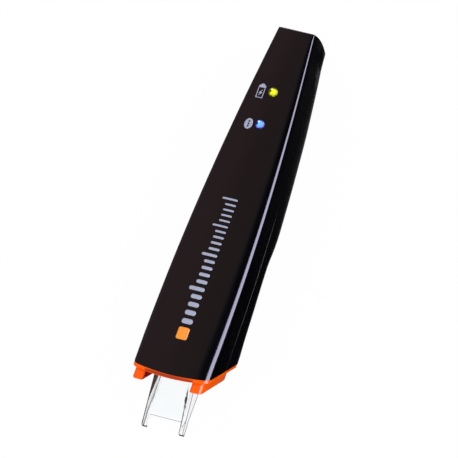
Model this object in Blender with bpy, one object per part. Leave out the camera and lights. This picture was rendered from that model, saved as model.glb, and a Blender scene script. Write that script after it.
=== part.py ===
"""A hand-held scanning pen, lying on its back with the printed face up.

The pen's length runs along Y, with the sprung clear tip towards -Y. X is the width, and Z points out
of the printed face. Places in the pen are given as (x, along, depth): along is counted from the front
corner of the slanted scanning end towards the rear end, and depth from the edge of the printed face
towards the back. All lengths are in metres.
"""

import math

import bmesh
import bpy
from mathutils import Vector

# The case as a whole
FACE_LENGTH = 0.11845
TIP_REACH = 0.01305
REAR_BULGE = 0.00465
REAR_PEAK_SHARE = 0.8
BODY_DEPTH = 0.0250
HALF_WIDTH = 0.0122
PARTING_SHARE = 0.492
PARTING_DEPTH = PARTING_SHARE * BODY_DEPTH
PARTING_GAP = 0.0002
WALL = 0.0014
CROWN_SHARE = 0.085
HEAD_SLANT = math.radians(36.2)
HEAD_BOW = 0.00075
HEAD_EDGE_ROUND = 0.0025
REAR_EDGE_ROUND = 0.0005
BACK_EDGE_ROUND = 0.0020
END_ROUND = 0.0004
LEAST_ROUND = 0.0003

# Half width along the face, as (share of the face's length, share of the half width)
WIDTH_SHARES = (
    (0.00, 0.992),
    (0.10, 1.000),
    (0.25, 0.982),
    (0.42, 0.926),
    (0.59, 0.832),
    (0.76, 0.705),
    (0.90, 0.575),
    (1.00, 0.475),
)
# Depth of the back, as (share of the face's length, share of the body's depth)
DEPTH_SHARES = (
    (0.155, 1.000),
    (0.203, 0.956),
    (0.287, 0.916),
    (0.371, 0.890),
    (0.414, 0.890),
    (0.456, 0.944),
    (0.494, 0.986),
    (0.523, 1.000),
    (0.800, 1.000),
    (0.878, 0.974),
    (0.979, 0.924),
    (1.013, 0.884),
    (1.041, 0.836),
)

# Gaps between neighbours
SEAT_GAP = 0.00005
FIT_GAP = 0.0003
RIM_GAP = 0.0001

# The reading axis, which the tip, its carrier, the chassis and the optics share
AXIS_SHARE = 0.42
AXIS_DEPTH = AXIS_SHARE * BODY_DEPTH
HEAD_AT_AXIS = math.tan(HEAD_SLANT) * AXIS_DEPTH

# Nose bezel
FLANGE_THICKNESS = 0.0010
FLANGE_CHAMFER = 0.0002
FLANGE_INSET = 0.0001
SKIRT_LENGTH = 0.0040
SKIRT_WALL = 0.0012
LUG_INNER = 0.0073
LUG_OUTER = 0.0108
LUG_FRONT = 0.0006
LUG_BACK_MARGIN = 0.0038
LUG_BACK = BODY_DEPTH - LUG_BACK_MARGIN
LUG_REACH = 0.0052
LUG_FRONT_ROUND = 0.0015
LUG_BACK_ROUND = 0.0011
LUG_CHAMFER = 0.0003
MOUTH_HALF_WIDTH = 0.00695
MOUTH_RISE = 0.0049
MOUTH_DROP = 0.0044
MOUTH_FRONT = AXIS_DEPTH - MOUTH_RISE
MOUTH_BACK = AXIS_DEPTH + MOUTH_DROP

# Tip carrier
CARRIER_BEHIND_HEAD = 0.005215
CARRIER_LENGTH = 0.0030
CARRIER_START = HEAD_AT_AXIS + CARRIER_BEHIND_HEAD
CARRIER_END = CARRIER_START + CARRIER_LENGTH
CARRIER_HALF_WIDTH = 0.0089
CARRIER_HALF_HEIGHT = 0.0057
CARRIER_LIP = 0.0013
TAB_HALF_WIDTH = 0.0022
TAB_REACH = 0.0082
LOWER_TAB_LENGTH = 0.0013
LOWER_TAB_SIDE = 0.0070

# Clear tip
GUIDE_HALF_WIDTH = 0.0065
GUIDE_RISE = 0.0044
GUIDE_DROP = 0.0037
GUIDE_FRONT = AXIS_DEPTH - GUIDE_RISE
GUIDE_BACK = AXIS_DEPTH + GUIDE_DROP
GUIDE_BEND = 0.0042
GUIDE_SEAT = 0.0014
GUIDE_WALL = 0.0012
GUIDE_INNER_END = CARRIER_START + GUIDE_SEAT
FOOT_FRONT_DROP = 0.00263
FOOT_BACK_DROP = 0.0048
FOOT_ROUND = 0.00045
FOOT_KINK = 0.0099
FOOT_KINK_DROP = 0.0044
FOOT_NECK = 0.0086
NOTCH_HALF_WIDTH = 0.0051
NOTCH_TOP = 0.00956
NOTCH_ROUND = 0.0006
LEDGE_HALF_WIDTH = 0.0074
LEDGE_THICKNESS = 0.0012
LEDGE_RISE = 0.0035
LEDGE_DROP = 0.0029
TIP_TRAVEL = 0.0012

# Scan chassis
SPRING_SPACE = 0.0066
BULKHEAD_START = CARRIER_END + SPRING_SPACE
BULKHEAD_THICKNESS = 0.0018
BULKHEAD_HALF_WIDTH = 0.0093
BULKHEAD_FRONT = 0.0020
BULKHEAD_BACK_MARGIN = 0.0045
RAIL_INNER = 0.0072
RAIL_HALF_HEIGHT = 0.0035
RAIL_LENGTH = 0.0138
RAIL_END = BULKHEAD_START + RAIL_LENGTH
EAR_INNER = 0.0043
EAR_LENGTH = 0.0034
EAR_THICKNESS = 0.0012
EAR_BEHIND_BULKHEAD = 0.0090
EAR_PLACE = BULKHEAD_START + EAR_BEHIND_BULKHEAD
CHASSIS_SCREW_X = 0.0058
PIN_OFFSET = 0.0065
PIN_RADIUS = 0.0008
PIN_LENGTH = 0.0085
SPRING_RADIUS = 0.00125
SPRING_WIRE = 0.0002
SPRING_TURNS = 5
SPRING_END_GAP = 0.0001

# Reading optics
LAMP_BOARD_HALF_WIDTH = 0.0052
LAMP_BOARD_HALF_HEIGHT = 0.0050
LAMP_BOARD_THICKNESS = 0.0008
LAMP_X = 0.0045
LAMP_SIZE = 0.0011
LAMP_HEIGHT = 0.0007
BARREL_RADIUS = 0.00315
BARREL_BORE = 0.00255
BARREL_REACH = 0.0030
BARREL_LENGTH = 0.0120
BARREL_START = BULKHEAD_START - BARREL_REACH
BARREL_END = BARREL_START + BARREL_LENGTH
STOP_INSET = 0.0055
STOP_PLACE = BARREL_START + STOP_INSET
STOP_THICKNESS = 0.0006
STOP_RADIUS = 0.0010
LENS_RADIUS = 0.00245
LENS_EDGE = 0.0006
LENS_BULGE = 0.0004
FRONT_LENS_INSET = 0.0016
REAR_LENS_INSET = 0.0025
SENSOR_BOARD_THICKNESS = 0.0008
SENSOR_BOARD_HALF_WIDTH = 0.0093
SENSOR_BOARD_RISE = 0.0060
SENSOR_BOARD_DROP = 0.0075
SENSOR_HALF_WIDTH = 0.0040
SENSOR_HALF_HEIGHT = 0.0020
SENSOR_THICKNESS = 0.0011
SENSOR_SCREW_X = 0.0083

# Tip switch
SWITCH_X = 0.0050
SWITCH_GAP = 0.0005
SWITCH_HALF_WIDTH = 0.0020
SWITCH_HALF_HEIGHT = 0.0014
SWITCH_DEPTH = AXIS_DEPTH + LAMP_BOARD_HALF_HEIGHT + SWITCH_GAP + SWITCH_HALF_HEIGHT
SWITCH_LENGTH = 0.0039
SWITCH_START = BULKHEAD_START - SWITCH_LENGTH
PLUNGER_RADIUS = 0.0006
PLUNGER_GAP = 0.00015
PLUNGER_LENGTH = 0.00455
PLUNGER_START = CARRIER_END + PLUNGER_GAP
PLUNGER_END = PLUNGER_START + PLUNGER_LENGTH
PLUNGER_BORE = 0.0008

# Case screws
SCREW_RADIUS = 0.0009
SCREW_HEAD_RADIUS = 0.0018
SCREW_HEAD_HEIGHT = 0.0013
SCREW_HEAD_SHARE = 0.692
SCREW_HEAD_DEPTH = SCREW_HEAD_SHARE * BODY_DEPTH
SCREW_TIP_DEPTH = 0.0065
UPPER_BOSS_RADIUS = 0.0020
LOWER_BOSS_RADIUS = 0.0027
DRIVE_RADIUS = 0.0008
DRIVE_DEPTH = 0.0006

# Main board and what it carries, behind the optics
BOARD_DEPTH = 0.0042
BOARD_THICKNESS = 0.0010
BOARD_FRONT_GAP = 0.0023
BOARD_REAR_GAP = 0.00025
BOARD_START = RAIL_END + BOARD_FRONT_GAP
BOARD_END = FACE_LENGTH - BOARD_REAR_GAP
BOARD_MARGIN = 0.0005
RIBBON_INSET = 0.0024
RIBBON_PLACE = BOARD_START + RIBBON_INSET
SCREW_BEHIND_RIBBON = 0.0050
FRONT_SCREW_PLACE = RIBBON_PLACE + SCREW_BEHIND_RIBBON


def behind(share):
    """The place at this share of the way from the front case screw to the rear end of the face."""
    return FRONT_SCREW_PLACE + share * (FACE_LENGTH - FRONT_SCREW_PLACE)


SCREW_PLACES = (FRONT_SCREW_PLACE, behind(0.8489))
PROCESSOR_HALF = 0.0038
CHIP_HEIGHT = 0.0011
CHIP_GAP = 0.0020
CHIP_PLACE = FRONT_SCREW_PLACE + UPPER_BOSS_RADIUS + CHIP_GAP + PROCESSOR_HALF
MEMORY_HALF_WIDTH = 0.0030
MEMORY_HALF_LENGTH = 0.0025
RADIO_PLACE = behind(0.3865)
RADIO_HALF_WIDTH = 0.0055
RADIO_HALF_LENGTH = 0.0060
RADIO_BOARD_THICKNESS = 0.0006
SHIELD_MARGIN = 0.0006
SHIELD_HEIGHT = 0.0014
SHIELD_WALL = 0.0003
BOARD_SCREW_X = 0.0070
BOARD_SCREW_PLACE = behind(0.2484)
BOARD_POST_RADIUS = 0.0012
SMALL_SCREW_RADIUS = 0.0005
SMALL_SCREW_HEAD = 0.0011
SMALL_SCREW_HEAD_HEIGHT = 0.0006
SMALL_SCREW_LENGTH = 0.0036

# Ribbon cable and its connectors
CONNECTOR_HALF_WIDTH = 0.0045
CONNECTOR_LENGTH = 0.0022
CONNECTOR_HEIGHT = 0.0012
RIBBON_HALF_WIDTH = 0.0035
RIBBON_THICKNESS = 0.0002
RIBBON_BEND = 0.0012

# Status windows and lamps
WINDOW_RADIUS = 0.00145
WINDOW_GAP = 0.0002
WINDOW_RISE = 0.00015
WINDOW_DOME = 0.0005
WINDOW_FLANGE = 0.0021
WINDOW_FLANGE_HEIGHT = 0.0006
WINDOW_PIPE_RADIUS = 0.0012
WINDOW_PIPE_GAP = 0.0003
CHARGE_X = -0.00012
CHARGE_PLACE = behind(0.6893)
LINK_X = -0.00051
LINK_PLACE = behind(0.5299)
DIODE_HALF_LENGTH = 0.0008
DIODE_HALF_WIDTH = 0.0004
DIODE_HEIGHT = 0.0006

# Battery
CELL_HALF_WIDTH = 0.0060
CELL_START = behind(0.1794)
CELL_END = behind(0.7039)
CELL_FRONT = 0.0064
CELL_THICKNESS = 0.0100
CELL_ROUND = 0.0010
PAD_HALF_WIDTH = 0.0050
PAD_START = behind(0.3037)
PAD_END = behind(0.6073)
PLUG_GAP = 0.0016
PLUG_START = CELL_END + PLUG_GAP
PLUG_LENGTH = 0.0034
PLUG_HALF_WIDTH = 0.0030
PLUG_HEIGHT = 0.0026
LEAD_RADIUS = 0.00045
LEAD_X = 0.0012
LEAD_INSET = 0.0046
LEAD_BEND = 0.0012
RIB_THICKNESS = 0.0012
RIB_PLACES = (behind(0.2761), behind(0.5797))

# USB socket
USB_HALF_WIDTH = 0.00375
USB_HEIGHT = 0.0027
USB_WALL = 0.0003
USB_ROUND = 0.0005
USB_INSET = 0.00345
USB_START = FACE_LENGTH - USB_INSET
USB_RECESS = 0.0004
USB_MOUTH_GAP = 0.00035
TONGUE_HALF_WIDTH = 0.0020
TONGUE_THICKNESS = 0.0007
TONGUE_RECESS = 0.0007
TONGUE_BASE_LENGTH = 0.0012

# How finely the curved pieces are divided
FACE_STEPS = 8
ROUND_STEPS = 5
WALL_STEPS = 3
BACK_STEPS = 8
UPPER_RINGS = 24
LOWER_RINGS = 42
CIRCLE_STEPS = 24
SMALL_CIRCLE_STEPS = 14
SETTLE_STEPS = 8
SPRING_TURN_STEPS = 12
SPRING_WIRE_STEPS = 6
LENS_STEPS = 5
LEAD_STEPS = 5
LEAD_SIDES = 8
BOARD_EDGE_STEPS = 10
MERGE_DISTANCE = 1e-6
SMOOTH_ANGLE = math.radians(32)

MIDDLE_ALONG = (FACE_LENGTH + REAR_BULGE - TIP_REACH) / 2
UP = (0.0, 0.0, 1.0)
REARWARD = (0.0, 1.0, 0.0)
SIDES = ((-1, "left"), (1, "right"))


def place(x, along, depth):
    """The point of the scene at this place in the pen."""
    return Vector((x, along - MIDDLE_ALONG, BODY_DEPTH - depth))


def smooth_share(shares, position):
    """A smooth curve through (position, value) pairs that never overshoots between them."""
    if position <= shares[0][0]:
        return shares[0][1]
    if position >= shares[-1][0]:
        return shares[-1][1]
    steps = [b[0] - a[0] for a, b in zip(shares, shares[1:])]
    rises = [(b[1] - a[1]) / step for a, b, step in zip(shares, shares[1:], steps)]
    slopes = [0.0]
    for before, after in zip(rises, rises[1:]):
        together = before * after
        slopes.append(2 * together / (before + after) if together > 0 else 0.0)
    slopes.append(rises[-1])
    index = max(i for i in range(len(steps)) if shares[i][0] <= position)
    step = steps[index]
    t = (position - shares[index][0]) / step
    low = shares[index][1]
    high = shares[index + 1][1]
    return (
        low * (1 + 2 * t) * (1 - t) ** 2
        + slopes[index] * step * t * (1 - t) ** 2
        + high * t * t * (3 - 2 * t)
        + slopes[index + 1] * step * t * t * (t - 1)
    )


def half_width(along):
    return HALF_WIDTH * smooth_share(WIDTH_SHARES, along / FACE_LENGTH)


def back_depth(along):
    return BODY_DEPTH * smooth_share(DEPTH_SHARES, along / FACE_LENGTH)


def edge_round(along):
    share = min(max(along / FACE_LENGTH, 0.0), 1.0)
    return HEAD_EDGE_ROUND + (REAR_EDGE_ROUND - HEAD_EDGE_ROUND) * share


def crown(along):
    return CROWN_SHARE * half_width(along)


def head_along(x, depth):
    """Where the slanted scanning end lies at this x and depth."""
    across = x / half_width(0.0)
    return math.tan(HEAD_SLANT) * depth - HEAD_BOW * (1 - across * across)


def rear_along(depth):
    """Where the rear end lies at this depth."""
    share = 1 - depth / (BODY_DEPTH * REAR_PEAK_SHARE)
    return FACE_LENGTH + REAR_BULGE * (1 - share * share)


def face_depth(x, along):
    """Depth of the crowned printed face, which is negative as it rises above its edges."""
    radius = edge_round(along)
    flat = half_width(along) - radius
    slope = math.atan(2 * crown(along) / flat)
    reach = flat + radius * math.sin(slope)
    return radius * (1 - math.cos(slope)) - crown(along) * (1 - (x / reach) ** 2)


def upper_section(along, inset, edge):
    """Points (x, depth) over the front half, from the left edge to the right."""
    wide = half_width(along) - inset
    radius = max(edge_round(along) - inset, LEAST_ROUND)
    slope = math.atan(2 * crown(along) / (wide - radius))
    centre = inset + radius
    left = []
    for step in range(WALL_STEPS):
        left.append((-wide, edge + (centre - edge) * step / WALL_STEPS))
    for step in range(ROUND_STEPS):
        angle = (math.pi / 2 - slope) * step / ROUND_STEPS
        left.append((radius - wide - radius * math.cos(angle), centre - radius * math.sin(angle)))
    reach = wide - radius + radius * math.sin(slope)
    start = centre - radius * math.cos(slope)
    for step in range(FACE_STEPS // 2):
        across = 1 - 2 * step / FACE_STEPS
        left.append((-reach * across, start - crown(along) * (1 - across * across)))
    middle = (0.0, start - crown(along))
    return left + [middle] + [(-x, depth) for x, depth in reversed(left)]


def lower_section(along, inset, edge):
    """Points (x, depth) under the back half, from the right edge to the left."""
    wide = half_width(along) - inset
    radius = max(BACK_EDGE_ROUND - inset, LEAST_ROUND)
    bottom = back_depth(along) - inset
    centre = bottom - radius
    right = []
    for step in range(WALL_STEPS):
        right.append((wide, edge + (centre - edge) * step / WALL_STEPS))
    for step in range(ROUND_STEPS):
        angle = math.pi / 2 * step / ROUND_STEPS
        right.append((wide - radius + radius * math.cos(angle), centre + radius * math.sin(angle)))
    for step in range(BACK_STEPS // 2):
        across = 1 - 2 * step / BACK_STEPS
        right.append(((wide - radius) * across, bottom))
    middle = (0.0, bottom)
    return right + [middle] + [(-x, depth) for x, depth in reversed(right)]


def whole_section(along, inset):
    upper = upper_section(along, inset, PARTING_DEPTH)
    return upper + lower_section(along, inset, PARTING_DEPTH)[1:-1]


def settled_ring(section, where):
    """A ring of places whose section is taken at each point's own place along the pen."""
    count = len(section(0.0))
    ring = []
    for index in range(count):
        along = where(*section(0.0)[index])
        for _ in range(SETTLE_STEPS):
            x, depth = section(along)[index]
            along = where(x, depth)
        ring.append(place(x, along, depth))
    return ring


def head_ring(offset, inset):
    """A ring of the whole case beside the scanning end, moved along the pen by offset."""

    def where(x, depth):
        return head_along(x, depth) + offset

    return settled_ring(lambda along: whole_section(along, inset), where)


def between_ends(share, short):
    """Where a ring of the case lies, with its rear end moved in by short."""

    def where(x, depth):
        start = head_along(x, depth)
        return start + share * (rear_along(depth) - short - start)

    return where


def new_material(name, colour, roughness, metallic=0.0, clear=0.0):
    material = bpy.data.materials.new(name)
    material.use_nodes = True
    shader = material.node_tree.nodes["Principled BSDF"]
    shader.inputs["Base Color"].default_value = (*colour, 1.0)
    shader.inputs["Roughness"].default_value = roughness
    shader.inputs["Metallic"].default_value = metallic
    shader.inputs["Transmission Weight"].default_value = clear
    material.diffuse_color = (*colour, 1.0 - 0.65 * clear)
    return material


def mesh_object(name, bm, material=None, origin=None):
    """An object of this mesh, with normals outwards and its origin at the given place."""
    bmesh.ops.recalc_face_normals(bm, faces=bm.faces)
    if origin is not None:
        bmesh.ops.translate(bm, verts=bm.verts, vec=-origin)
    mesh = bpy.data.meshes.new(name)
    bm.to_mesh(mesh)
    bm.free()
    piece = bpy.data.objects.new(name, mesh)
    if origin is not None:
        piece.location = origin
    if material is not None:
        mesh.materials.append(material)
    bpy.context.scene.collection.objects.link(piece)
    shade(piece)
    return piece


def shade(piece):
    for polygon in piece.data.polygons:
        polygon.use_smooth = True
    piece.data.set_sharp_from_angle(angle=SMOOTH_ANGLE)


def combine(piece, operation, other):
    """Joins another solid to the piece, or cuts it away, and keeps the result in the piece."""
    modifier = piece.modifiers.new(operation.title(), "BOOLEAN")
    modifier.operation = operation
    modifier.solver = "EXACT"
    modifier.object = other
    bpy.context.view_layer.update()
    graph = bpy.context.evaluated_depsgraph_get()
    result = bpy.data.meshes.new_from_object(piece.evaluated_get(graph))
    piece.modifiers.clear()
    old = piece.data
    result.name = piece.name
    piece.data = result
    bpy.data.meshes.remove(old)
    spent = other.data
    bpy.data.objects.remove(other)
    bpy.data.meshes.remove(spent)
    bm = bmesh.new()
    bm.from_mesh(result)
    bmesh.ops.dissolve_degenerate(bm, dist=MERGE_DISTANCE, edges=bm.edges)
    bm.to_mesh(result)
    bm.free()
    shade(piece)


def add_ring(bm, points):
    return [bm.verts.new(point) for point in points]


def bridge(bm, first, second, closed=True):
    count = len(first)
    for index in range(count if closed else count - 1):
        after = (index + 1) % count
        bm.faces.new((first[index], first[after], second[after], second[index]))


def ladder(bm, ring):
    """Fills an arch of points, which match left to right, with strips across it.

    The points in the arch's middle can lie in one line, so one face takes them all.
    """
    left = 0
    right = len(ring) - 1
    while right - left > BACK_STEPS + 2:
        bm.faces.new((ring[left], ring[right], ring[right - 1], ring[left + 1]))
        left += 1
        right -= 1
    bm.faces.new(ring[left : right + 1])


def shell_mesh(section, edge, ring_count):
    """Half of the case: a curved wall with an open scanning end and a closed rear end."""
    bm = bmesh.new()
    outer = []
    for index in range(ring_count + 1):
        where = between_ends(index / ring_count, END_ROUND)
        outer.append(settled_ring(lambda along: section(along, 0.0, edge), where))
    for turn in (0.5, 1.0):
        angle = math.pi / 2 * turn
        inset = END_ROUND * (1 - math.cos(angle))
        where = between_ends(1.0, END_ROUND * (1 - math.sin(angle)))
        outer.append(settled_ring(lambda along: section(along, inset, edge), where))
    inner = []
    for index in range(ring_count + 1):
        where = between_ends(index / ring_count, WALL)
        inner.append(settled_ring(lambda along: section(along, WALL, edge), where))
    outer = [add_ring(bm, ring) for ring in outer]
    inner = [add_ring(bm, ring) for ring in inner]
    for wall in (outer, inner):
        for first, second in zip(wall, wall[1:]):
            bridge(bm, first, second, closed=False)
        ladder(bm, wall[-1])
    bridge(bm, outer[0], inner[0], closed=False)
    for side in (0, -1):
        for index in range(ring_count):
            bm.faces.new(
                (outer[index][side], outer[index + 1][side], inner[index + 1][side], inner[index][side])
            )
    last = ring_count
    bm.faces.new(
        (
            outer[last][0],
            outer[last + 1][0],
            outer[last + 2][0],
            outer[last + 2][-1],
            outer[last + 1][-1],
            outer[last][-1],
            inner[last][-1],
            inner[last][0],
        )
    )
    return bm


def loop_solid(rings):
    """A solid through closed rings, each symmetric left to right, with both ends filled."""
    bm = bmesh.new()
    rings = [add_ring(bm, ring) for ring in rings]
    for first, second in zip(rings, rings[1:]):
        bridge(bm, first, second)
    for ring in (rings[0], rings[-1]):
        bm.faces.new(ring)
    return bm


def bowed_cap(bm, ring, offset):
    """Fills a ring of the whole case with the bowed surface of the scanning end."""
    arc = WALL_STEPS + ROUND_STEPS
    corner = 2 * arc + FACE_STEPS
    upper = [(ring[index], ring[corner - index]) for index in range(arc)]
    lower = [(ring[-index % len(ring)], ring[corner + index]) for index in range(1, arc)]
    rows = [ring[corner + arc : corner + arc + BACK_STEPS + 1][::-1]]
    for left, right in [*reversed(lower), *upper]:
        depth = BODY_DEPTH - left.co.z
        row = [left]
        for step in range(1, FACE_STEPS):
            x = left.co.x + (right.co.x - left.co.x) * step / FACE_STEPS
            row.append(bm.verts.new(place(x, head_along(x, depth) + offset, depth)))
        rows.append([*row, right])
    rows.append(ring[arc : arc + FACE_STEPS + 1])
    for first, second in zip(rows, rows[1:]):
        bridge(bm, first, second, closed=False)


def add_box(bm, low, high):
    """A box between two places, each given as (x, along, depth)."""
    corners = []
    for depth in (low[2], high[2]):
        for x, along in (
            (low[0], low[1]),
            (high[0], low[1]),
            (high[0], high[1]),
            (low[0], high[1]),
        ):
            corners.append(bm.verts.new(place(x, along, depth)))
    for face in (
        (0, 1, 2, 3),
        (4, 5, 6, 7),
        (0, 1, 5, 4),
        (1, 2, 6, 5),
        (2, 3, 7, 6),
        (3, 0, 4, 7),
    ):
        bm.faces.new([corners[index] for index in face])


def box(low, high):
    bm = bmesh.new()
    add_box(bm, low, high)
    return bm


def circle_points(centre, radius, axis, steps):
    """Points round an axis, which is UP or REARWARD, about a point of the scene."""
    side = Vector((1.0, 0.0, 0.0))
    other = Vector(axis).cross(side)
    points = []
    for step in range(steps):
        angle = 2 * math.pi * step / steps
        points.append(centre + radius * (math.cos(angle) * side + math.sin(angle) * other))
    return points


def add_lathe(bm, x, profile, axis, across, steps=CIRCLE_STEPS):
    """A solid of revolution from (radius, position) pairs on an axis.

    For UP, across is the place along the pen and positions are depths. For REARWARD, across is the
    depth and positions are places along the pen. A radius of zero closes the end in a point.
    """
    rings = []
    for radius, position in profile:
        if axis == UP:
            centre = place(x, across, position)
        else:
            centre = place(x, position, across)
        if radius == 0:
            rings.append([bm.verts.new(centre)])
        else:
            rings.append(add_ring(bm, circle_points(centre, radius, axis, steps)))
    for first, second in zip(rings, rings[1:]):
        if len(first) == 1:
            for index in range(steps):
                bm.faces.new((first[0], second[index], second[(index + 1) % steps]))
        elif len(second) == 1:
            for index in range(steps):
                bm.faces.new((second[0], first[(index + 1) % steps], first[index]))
        else:
            bridge(bm, first, second)
    if len(rings[0]) > 1:
        bm.faces.new(rings[0])
    if len(rings[-1]) > 1:
        bm.faces.new(rings[-1])


def add_tube(bm, x, profile, axis, across, steps=CIRCLE_STEPS):
    """A ring-shaped solid of revolution from a closed profile of (radius, position) pairs."""
    rings = []
    for radius, position in profile:
        if axis == UP:
            centre = place(x, across, position)
        else:
            centre = place(x, position, across)
        rings.append(add_ring(bm, circle_points(centre, radius, axis, steps)))
    for first, second in zip(rings, rings[1:] + rings[:1]):
        bridge(bm, first, second)


def add_sweep(bm, path, radius, steps):
    """A round wire along a path of scene points, with flat ends."""
    rings = []
    for index, point in enumerate(path):
        before = path[max(index - 1, 0)]
        after = path[min(index + 1, len(path) - 1)]
        forward = (after - before).normalized()
        side = forward.cross(Vector((1.0, 0.0, 0.0)))
        if side.length < 0.2:
            side = forward.cross(Vector(UP))
        side.normalize()
        other = forward.cross(side)
        ring = []
        for step in range(steps):
            angle = 2 * math.pi * step / steps
            ring.append(point + radius * (math.cos(angle) * side + math.sin(angle) * other))
        rings.append(add_ring(bm, ring))
    for first, second in zip(rings, rings[1:]):
        bridge(bm, first, second)
    bm.faces.new(rings[0])
    bm.faces.new(rings[-1])


def add_prism(bm, outline, low_x, high_x):
    """A solid between two x values from an outline of (along, depth) pairs."""
    rings = []
    for x in (low_x, high_x):
        rings.append([bm.verts.new(place(x, along, depth)) for along, depth in outline])
    bridge(bm, rings[0], rings[1])
    for ring in rings:
        bm.faces.new(ring)


def rounded_corner(corner, before, after, radius, steps=4):
    """Points of an outline (two coordinates each) that round one of its corners."""
    corner = Vector(corner)
    towards = (Vector(before) - corner).normalized()
    away = (Vector(after) - corner).normalized()
    half = towards.angle(away) / 2
    reach = radius / math.tan(half)
    start = corner + towards * reach
    end = corner + away * reach
    centre = corner + (towards + away).normalized() * (radius / math.sin(half))
    points = []
    for step in range(steps + 1):
        share = step / steps
        direction = (start - centre).slerp(end - centre, share)
        points.append(tuple(centre + direction.normalized() * radius))
    return points


def rounded_outline(corners, radii, steps=4):
    """An outline with each corner rounded by its own radius, or left sharp where that is zero."""
    points = []
    count = len(corners)
    for index, (corner, radius) in enumerate(zip(corners, radii)):
        if radius == 0:
            points.append(corner)
            continue
        before = corners[index - 1]
        after = corners[(index + 1) % count]
        points += rounded_corner(corner, before, after, radius, steps)
    return points


def along_prism(outline, ends):
    """A solid along the pen from an outline of (x, depth) pairs.

    Each end is (function of depth that gives the place along, inset towards the outline's middle).
    """
    middle_x = sum(x for x, _ in outline) / len(outline)
    middle_depth = sum(depth for _, depth in outline) / len(outline)
    widest = max(abs(x - middle_x) for x, _ in outline)
    deepest = max(abs(depth - middle_depth) for _, depth in outline)
    rings = []
    for where, inset in ends:
        ring = []
        for x, depth in outline:
            inner_x = middle_x + (x - middle_x) * (1 - inset / widest)
            inner_depth = middle_depth + (depth - middle_depth) * (1 - inset / deepest)
            ring.append(place(inner_x, where(inner_depth), inner_depth))
        rings.append(ring)
    return loop_solid(rings)


def slanted(offset):
    """The plane of the scanning end, moved along the pen by offset."""
    return lambda depth: math.tan(HEAD_SLANT) * depth + offset


def build_upper_shell(material):
    edge = PARTING_DEPTH - PARTING_GAP / 2
    shell = mesh_object("upper_shell", shell_mesh(upper_section, edge, UPPER_RINGS), material)
    posts = bmesh.new()
    for along in SCREW_PLACES:
        top = face_depth(0.0, along) + WALL / 2
        add_lathe(posts, 0.0, ((UPPER_BOSS_RADIUS, top), (UPPER_BOSS_RADIUS, edge)), UP, along)
    for side in (-1, 1):
        x = side * BOARD_SCREW_X
        top = face_depth(x, BOARD_SCREW_PLACE) + WALL / 2
        seat = BOARD_DEPTH - SEAT_GAP
        add_lathe(posts, x, ((BOARD_POST_RADIUS, top), (BOARD_POST_RADIUS, seat)), UP, BOARD_SCREW_PLACE)
        x = side * CHASSIS_SCREW_X
        top = face_depth(x, EAR_PLACE) + WALL / 2
        seat = AXIS_DEPTH - RAIL_HALF_HEIGHT - SEAT_GAP
        add_lathe(posts, x, ((BOARD_POST_RADIUS, top), (BOARD_POST_RADIUS, seat)), UP, EAR_PLACE)
    combine(shell, "UNION", mesh_object("posts", posts))

    holes = bmesh.new()
    above = -2 * crown(0.0)
    for x, along in ((CHARGE_X, CHARGE_PLACE), (LINK_X, LINK_PLACE)):
        radius = WINDOW_RADIUS + WINDOW_GAP
        add_lathe(holes, x, ((radius, above), (radius, 2 * WALL)), UP, along)
    for along in SCREW_PLACES:
        radius = SCREW_RADIUS + WINDOW_GAP
        start = SCREW_TIP_DEPTH - FIT_GAP
        add_lathe(holes, 0.0, ((radius, start), (radius, edge + WALL)), UP, along)
    small = SMALL_SCREW_RADIUS + WINDOW_GAP / 2
    for side in (-1, 1):
        low = BOARD_DEPTH + BOARD_THICKNESS - SMALL_SCREW_LENGTH
        profile = ((small, low), (small, BOARD_DEPTH + WALL))
        add_lathe(holes, side * BOARD_SCREW_X, profile, UP, BOARD_SCREW_PLACE, SMALL_CIRCLE_STEPS)
        seat = AXIS_DEPTH - RAIL_HALF_HEIGHT
        profile = ((small, seat + EAR_THICKNESS - SMALL_SCREW_LENGTH), (small, seat + WALL))
        add_lathe(holes, side * CHASSIS_SCREW_X, profile, UP, EAR_PLACE, SMALL_CIRCLE_STEPS)
    gap = USB_MOUTH_GAP
    top = BOARD_DEPTH + BOARD_THICKNESS + SEAT_GAP
    low = (-USB_HALF_WIDTH - gap, BOARD_END, top - gap)
    high = (USB_HALF_WIDTH + gap, FACE_LENGTH + 2 * REAR_BULGE, top + USB_HEIGHT + gap)
    add_box(holes, low, high)
    combine(shell, "DIFFERENCE", mesh_object("holes", holes))
    return shell


def build_lower_shell(material):
    edge = PARTING_DEPTH + PARTING_GAP / 2
    shell = mesh_object("lower_shell", shell_mesh(lower_section, edge, LOWER_RINGS), material)
    posts = bmesh.new()
    for along in SCREW_PLACES:
        low = back_depth(along) - WALL / 2
        profile = ((LOWER_BOSS_RADIUS, edge), (LOWER_BOSS_RADIUS, low))
        add_lathe(posts, 0.0, profile, UP, along)
    for along in RIB_PLACES:
        reach = half_width(along) - WALL / 2
        top = CELL_FRONT + CELL_THICKNESS + FIT_GAP
        low = back_depth(along) - WALL / 2
        half = RIB_THICKNESS / 2
        corners = ((-reach, top), (reach, top), (reach, low), (-reach, low))
        cut = BACK_EDGE_ROUND
        outline = rounded_outline(corners, (0, 0, cut, cut))
        ends = ((lambda depth: along - half, 0.0), (lambda depth: along + half, 0.0))
        rib = along_prism(outline, ends)
        combine(shell, "UNION", mesh_object("rib", rib))
    combine(shell, "UNION", mesh_object("posts", posts))

    holes = bmesh.new()
    for along in SCREW_PLACES:
        radius = SCREW_RADIUS + WINDOW_GAP
        well = SCREW_HEAD_RADIUS + WINDOW_GAP
        seat = SCREW_HEAD_DEPTH - SEAT_GAP
        below = BODY_DEPTH + WALL
        profile = ((radius, edge - WALL), (radius, seat), (well, seat), (well, below))
        add_lathe(holes, 0.0, profile, UP, along)
    combine(shell, "DIFFERENCE", mesh_object("holes", holes))
    return shell


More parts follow.
